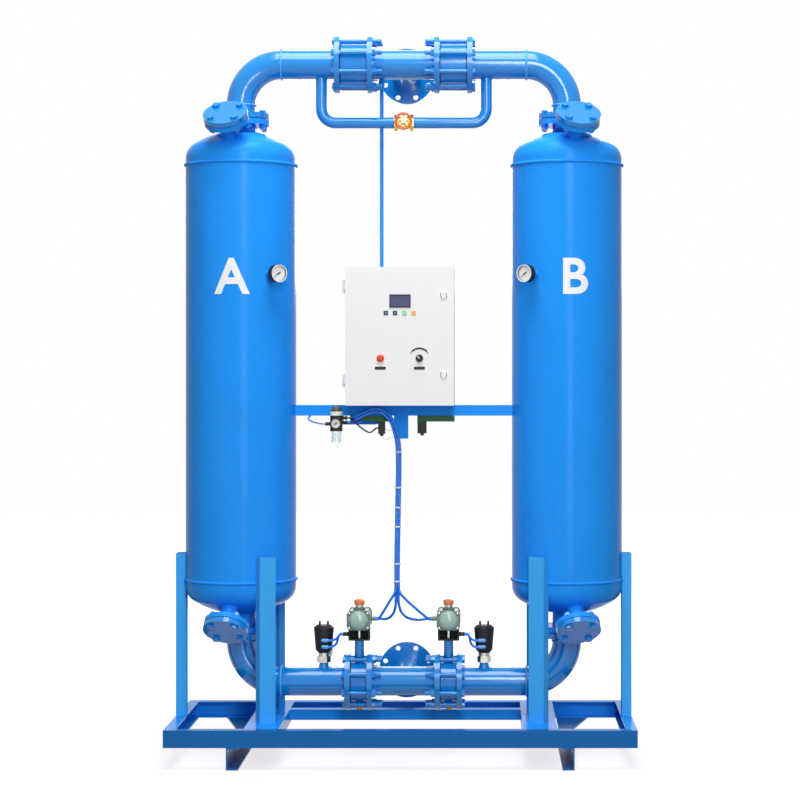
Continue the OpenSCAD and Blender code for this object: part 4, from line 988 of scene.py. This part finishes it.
def tube(name, path, diameter, finish, slot):
    """Round tube along a path as a curve of one open spline."""
    curve = bpy.data.curves.new(name, "CURVE")
    curve.dimensions = "3D"
    curve.bevel_depth = diameter / 2
    curve.bevel_resolution = 4
    curve.use_fill_caps = True
    spline = curve.splines.new("POLY")
    spline.points.add(len(path) - 1)
    for point, place in zip(spline.points, path):
        point.co = (*place, 1.0)
    spline.use_smooth = True
    curve.materials.append(finishes[finish].material)
    made = bpy.data.objects.new(name, curve)
    bpy.context.scene.collection.objects.link(made)
    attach(made, "dryer")
    return made


TRUNK = (
    (-185, -31, 1252), (-185, -46, 1252), (-178, -58, 1256), (-150, -62, 1270), (-110, -60, 1284),
    (-72, -56, 1276), (-42, -52, 1240), (-26, -48, 1190), (-19, -46, 1140), (-18, -46, 1060),
    (-20, -45, 960), (-22, -45, 840), (-24, -44, 720), (-24, -44, 640),
)
BRANCHES = (
    ((-32, -47, 606), (-48, -44, 578), (-66, -36, 548), (-82, -26, 522), (-95, -18, 503), (-107, -18, 503)),
    ((-14, -47, 606), (10, -44, 577), (40, -36, 549), (70, -26, 522), (94, -18, 503), (107, -18, 503)),
    (
        (-29, -39, 600), (-29, -36, 575), (-31, -30, 550), (-38, -18, 527), (-54, 0, 507), (-76, 14, 499),
        (-96, 18, 503), (-107, 18, 503),
    ),
    (
        (-19, -39, 600), (-19, -36, 575), (-16, -30, 550), (-8, -18, 527), (14, -2, 506), (50, 12, 497),
        (80, 17, 499), (96, 18, 503), (107, 18, 503),
    ),
)
EXHAUST_TUBES = (
    ((280, -47, 426), (267, -47, 426), (252, -40, 432), (244, -26, 440), (238, -12, 445), (227, -12, 445)),
    (
        (280, -47, 402), (267, -47, 402), (252, -34, 412), (246, -12, 430), (243, 6, 442), (238, 12, 445),
        (227, 12, 445),
    ),
)
SUPPLY_HOSE = (
    (-208, -47, 1255), (-201, -47, 1255), (-191, -64, 1249), (-178, -74, 1238), (-160, -72, 1222),
    (-142, -58, 1208), (-126, -36, 1201), (-113, -18, 1208), (-104, -12, 1216), (-96, -12, 1216),
)
FEED_TUBE = (
    (-208, -47, 1238), (-198, -47, 1238), (-186, -46, 1235), (-172, -41, 1237), (-162, -35, 1244),
    (-159, -31, 1247), (-159, -23, 1247),
)
LOOP_TUBE = (
    (-292, -47, 1233), (-304, -47, 1233), (-326, -44, 1237), (-346, -38, 1244), (-356, -28, 1251),
    (-355, -17, 1256), (-349, -10, 1264), (-348, -9, 1276), (-348, -9, 1299),
)
COIL_WIRES = (
    ((-83, -12, 1187), (-80, -14, 1180), (-68, -18, 1175), (-52, -18, 1178), (-40, -16, 1186)),
    ((-70, -12, 1216), (-62, -16, 1209), (-52, -18, 1206), (-44, -18, 1211), (-37, -15, 1218)),
)
STRAND_OFFSETS = ((-5.8, -4.2), (5.6, -4.4), (-5.4, 5.0), (5.4, 5.4))
TIE_HEIGHTS = (1.128, 0.996, 0.919, 0.846, 0.711, 0.640)
BUNDLE_R = 0.0128
ACTUATOR_TUBE_D = 0.0105
EXHAUST_TUBE_D = 0.0095
SUPPLY_TUBE_D = 0.006
WIRE_D = 0.0018


def metres(points):
    """Points in metres from points in millimetres."""
    return [Vector(p) * MM for p in points]


def strand_path(offset):
    """One tube's way down the bundle, beside the bundle's middle line."""
    middle = metres(TRUNK)[::-1]
    across = Vector((1, 0, 0))
    path = []
    for i, point in enumerate(middle):
        along = (middle[min(i + 1, len(middle) - 1)] - middle[max(i - 1, 0)]).normalized()
        across = (across - along * across.dot(along)).normalized()
        deep = across.cross(along)
        path.append(point + (across * offset[0] + deep * offset[1]) * MM)
    return path[::-1]


class DRYER_OT_tubes(bpy.types.Operator):
    """Replace the plain air tubes with smooth ones, and tie the bundle"""

    bl_idname = "dryer.tubes"
    bl_label = "Air tubes"

    def execute(self, context):
        for i, (offset, branch) in enumerate(zip(STRAND_OFFSETS, BRANCHES)):
            path = smooth_path([*strand_path(offset), *metres(branch)])
            tube(f"actuator_tube_{i + 1}", path, ACTUATOR_TUBE_D, "tube", "blue_tube")
        for side in SIDES:
            for i, route in enumerate(EXHAUST_TUBES):
                flipped = [(side * x, y, z) for x, y, z in route]
                name = f"exhaust_tube_{'b' if side > 0 else 'a'}_{i + 1}"
                path = smooth_path(metres(flipped))
                tube(name, path, EXHAUST_TUBE_D, "tube", "blue_tube")
        for name, route, finish in (
            ("supply_tube", SUPPLY_HOSE, "dark_tube"),
            ("feed_tube", FEED_TUBE, "tube"),
            ("loop_tube", LOOP_TUBE, "tube"),
        ):
            tube(name, smooth_path(metres(route)), SUPPLY_TUBE_D, finish, "blue_tube")
        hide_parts("air_tubes")
        for i, route in enumerate(COIL_WIRES):
            tube(f"coil_wire_{i + 1}", smooth_path(metres(route)), WIRE_D, "wire", "white_paint")
        line = smooth_path(metres(TRUNK), 12)
        places = []
        for z in TIE_HEIGHTS:
            i = min(range(1, len(line) - 1), key=lambda k: abs(line[k].z - z))
            places.append((line[i], (line[i + 1] - line[i - 1]).normalized()))
        values = {"Radius": BUNDLE_R, "Width": sizes_of().tie_width, "Thickness": 0.0014}
        grow("tube_ties", tie_tree, places, values, "white")
        return {"FINISHED"}


# Marks and dials


def plate(bm, x0, x1, y0, y1, z0, z1):
    """Box between limits."""
    made = bmesh.ops.create_cube(bm, size=1.0)["verts"]
    for v in made:
        v.co.x = x0 if v.co.x < 0 else x1
        v.co.y = y0 if v.co.y < 0 else y1
        v.co.z = z0 if v.co.z < 0 else z1
    return made


def disc(bm, radius, low, high):
    """Flat round plate about Z."""
    made = bmesh.ops.create_cone(
        bm, cap_ends=True, segments=48, radius1=radius, radius2=radius, depth=high - low
    )["verts"]
    bmesh.ops.translate(bm, verts=made, vec=(0, 0, (low + high) / 2))
    return made


def arc(bm, inner, outer, start, stop, low, high, steps=24):
    """Curved bar about Z between two angles in degrees, counted from +X."""
    rows = []
    for k in range(steps + 1):
        angle = math.radians(start + (stop - start) * k / steps)
        rows.append(
            [
                bm.verts.new((r * math.cos(angle), r * math.sin(angle), z))
                for r, z in ((inner, low), (outer, low), (outer, high), (inner, high))
            ]
        )
    for a, b in zip(rows, rows[1:]):
        for k in range(4):
            bm.faces.new((a[k], b[k], b[(k + 1) % 4], a[(k + 1) % 4]))
    bm.faces.new(rows[0])
    bm.faces.new(rows[-1][::-1])
    bmesh.ops.recalc_face_normals(bm, faces=bm.faces)


def dial_ticks(bm, radius):
    """Scale of a pressure dial from lower left to lower right."""
    for k in range(31):
        long = k % 5 == 0
        made = plate(bm, -0.0002, 0.0002, radius * (0.76 if long else 0.86), radius * 0.92, 0, 0.0004)
        if long:
            for v in made:
                v.co.x *= 2.2
        turn = Matrix.Rotation(math.radians(135 - 9 * k), 4, "Z")
        bmesh.ops.transform(bm, matrix=turn, verts=made)


def faced(build, matrix):
    """Mesh built about Z and then put in its place."""
    mesh = mesh_from(build)
    mesh.transform(matrix)
    return mesh


def gauge_place(side):
    """Frame of a tower gauge, Z outward at its dial."""
    out = Vector((-side * math.sin(GAUGE_TURN), -math.cos(GAUGE_TURN), 0))
    return facing(Vector((side * TOWER_X, 0, GAUGE_Z)) + out * GAUGE_FACE_R, out)


class DRYER_OT_dials(bpy.types.Operator):
    """Add the white dials and scales of the gauges"""

    bl_idname = "dryer.dials"
    bl_label = "Dials"

    def execute(self, context):
        spots = [
            ("gauge_dial_a", gauge_place(-1), GAUGE_DIAL_R),
            ("gauge_dial_b", gauge_place(1), GAUGE_DIAL_R),
            ("regulator_dial", facing(Vector(REGULATOR_DIAL), (0, -1, 0)), REGULATOR_DIAL_R),
        ]
        for name, place, radius in spots:
            face = faced(lambda bm: disc(bm, radius, 0, FILM), place)
            piece(name, face, "white")
            lifted = place @ Matrix.Translation((0, 0, FILM))
            ticks = faced(lambda bm: dial_ticks(bm, radius), lifted)
            piece(name + "_scale", ticks, "black")
        return {"FINISHED"}


def glyph(char):
    """Flat mesh of one letter, centred, one unit high."""
    text = bpy.data.curves.new("glyph", "FONT")
    text.body = char
    text.offset = 0.022
    text.resolution_u = 6
    holder = bpy.data.objects.new("glyph", text)
    bpy.context.scene.collection.objects.link(holder)
    shown = holder.evaluated_get(bpy.context.evaluated_depsgraph_get())
    mesh = bpy.data.meshes.new_from_object(shown)
    bpy.data.objects.remove(holder)
    xs = [v.co.x for v in mesh.vertices]
    ys = [v.co.y for v in mesh.vertices]
    height = max(ys) - min(ys)
    middle = Vector(((max(xs) + min(xs)) / 2, (max(ys) + min(ys)) / 2, 0))
    mesh.transform(Matrix.Scale(1 / height, 4) @ Matrix.Translation(-middle))
    return mesh


def wrapped_letter(char, side, shift, height):
    """Letter bent round the front of a tower as a thin closed film."""
    bm = bmesh.new()
    bm.from_mesh(glyph(char))
    bmesh.ops.scale(bm, vec=(height, height, 1), verts=bm.verts)
    bmesh.ops.remove_doubles(bm, verts=bm.verts, dist=1e-6)
    edge = height * 0.6
    for k in range(41):
        bmesh.ops.bisect_plane(
            bm,
            geom=bm.verts[:] + bm.edges[:] + bm.faces[:],
            plane_co=(-edge + edge * k / 20, 0, 0),
            plane_no=(1, 0, 0),
        )
    bmesh.ops.triangulate(bm, faces=bm.faces)
    bmesh.ops.recalc_face_normals(bm, faces=bm.faces)
    if sum(f.normal.z for f in bm.faces) < 0:
        bmesh.ops.reverse_faces(bm, faces=bm.faces)
    bmesh.ops.solidify(bm, geom=bm.faces[:], thickness=0.0005)
    for v in bm.verts:
        angle = (v.co.x + shift) / SHELL_R
        r = SHELL_R + 0.0003 + abs(v.co.z)
        v.co = Vector((side * TOWER_X + r * math.sin(angle), -r * math.cos(angle), LETTER_Z + v.co.y))
    mesh = bpy.data.meshes.new("letter")
    bmesh.ops.recalc_face_normals(bm, faces=bm.faces)
    for face in bm.faces:
        face.smooth = False
    bm.to_mesh(mesh)
    bm.free()
    return mesh


class DRYER_OT_letters(bpy.types.Operator):
    """Put the plain letters A and B on the towers"""

    bl_idname = "dryer.letters"
    bl_label = "Tower letters"

    def execute(self, context):
        height = sizes_of().letter_height
        for char, side, shift in (("A", -1, -0.012), ("B", 1, 0.025)):
            mesh = wrapped_letter(char, side, shift, height)
            piece("tower_letter_" + char.lower(), mesh, "letter")
        return {"FINISHED"}


def label_strips(bm):
    """Bare label strips below the lamp and the selector."""
    for x in (LAMP_X, SELECTOR_X):
        plate(bm, x - LABEL_HALF, x + LABEL_HALF, -INK, 0, *LABEL_Z)


def key_marks(bm):
    """Small square on every key."""
    half = KEY_MARK_HALF
    for x in KEY_X:
        plate(bm, x - half, x + half, KEY_FACE - FILM, KEY_FACE, KEY_Z - half, KEY_Z + half)


def selector_scale(bm):
    """Curved bar over the selector, with thinner ends."""
    arc(bm, 0.0335, 0.0400, 42, 138, 0, INK)
    for start in (28, 138):
        arc(bm, 0.0350, 0.0385, start, start + 14, 0, INK)


def selector_scale_dots(bm):
    """Two pale dots at either end of the scale."""
    for angle in (33, 39, 141, 147):
        arc(bm, 0.0356, 0.0379, angle - 1.6, angle + 1.6, INK, 1.5 * INK, 2)


def selector_mark(bm):
    """Pointer line on the knob."""
    plate(bm, -0.0016, 0.0016, 0.000, 0.0115, SELECTOR_FACE, SELECTOR_FACE + FILM)


def lock_shade_ring(bm):
    """Dark ring round a lock, open at its slot: painted shade at the lock's rim."""
    for start in (125, -55):
        arc(bm, 0.0104, 0.0122, start, start + 110, 0, FILM)


class DRYER_OT_panel_marks(bpy.types.Operator):
    """Add the scale, bare label strips, key marks, selector mark and lock rings of painted shade to the
    door
    """

    bl_idname = "dryer.panel_marks"
    bl_label = "Panel marks"

    def execute(self, context):
        forward = (0, -1, 0)
        front = Matrix.Translation((0, DOOR_Y, 0))
        place = facing(Vector((SELECTOR_X, DOOR_Y, SELECTOR_Z)), forward)
        turned = place @ Matrix.Rotation(SELECTOR_REST, 4, "Z")
        piece("label_strips", faced(label_strips, front), "black", "door")
        piece("key_marks", faced(key_marks, front), "white", "door")
        piece("selector_scale", faced(selector_scale, place), "black", "door")
        piece("selector_scale_dots", faced(selector_scale_dots, place), "white", "door")
        piece("selector_mark", faced(selector_mark, turned), "white", "selector")
        for name, height in LOCK_Z.items():
            lock = facing(Vector((LOCK_X, LOCK_FACE, height)), forward)
            # The dark ring on each lock is painted shade.
            piece(f"lock_shade_ring_{name}", faced(lock_shade_ring, lock), "black", f"{name}_lock")
        return {"FINISHED"}


OPERATORS = (
    DRYER_OT_stage,
    DRYER_OT_finishes,
    DRYER_OT_tubes,
    DRYER_OT_welds,
    DRYER_OT_fasteners,
    DRYER_OT_dials,
    DRYER_OT_letters,
    DRYER_OT_panel_marks,
)


class DRYER_PT_panel(bpy.types.Panel):
    """Lists the dryer's settings and steps"""

    bl_idname = "DRYER_PT_panel"
    bl_label = "Air dryer"
    bl_space_type = "VIEW_3D"
    bl_region_type = "UI"
    bl_category = "Dryer"

    def draw(self, context):
        for group in (context.scene.dryer_finish, context.scene.dryer_sizes):
            for key in group.__annotations__:
                self.layout.prop(group, key)
        for step in OPERATORS:
            self.layout.operator(step.bl_idname)


CLASSES = (DryerFinish, DryerSizes, *OPERATORS, DRYER_PT_panel)


def register():
    for item in CLASSES:
        bpy.utils.register_class(item)
    bpy.types.Scene.dryer_finish = PointerProperty(type=DryerFinish)
    bpy.types.Scene.dryer_sizes = PointerProperty(type=DryerSizes)


def unregister():
    del bpy.types.Scene.dryer_finish
    del bpy.types.Scene.dryer_sizes
    for item in reversed(CLASSES):
        bpy.utils.unregister_class(item)


def main():
    register()
    for step in OPERATORS:
        family, name = step.bl_idname.split(".")
        getattr(getattr(bpy.ops, family), name)()


if __name__ == "__main__":
    main()
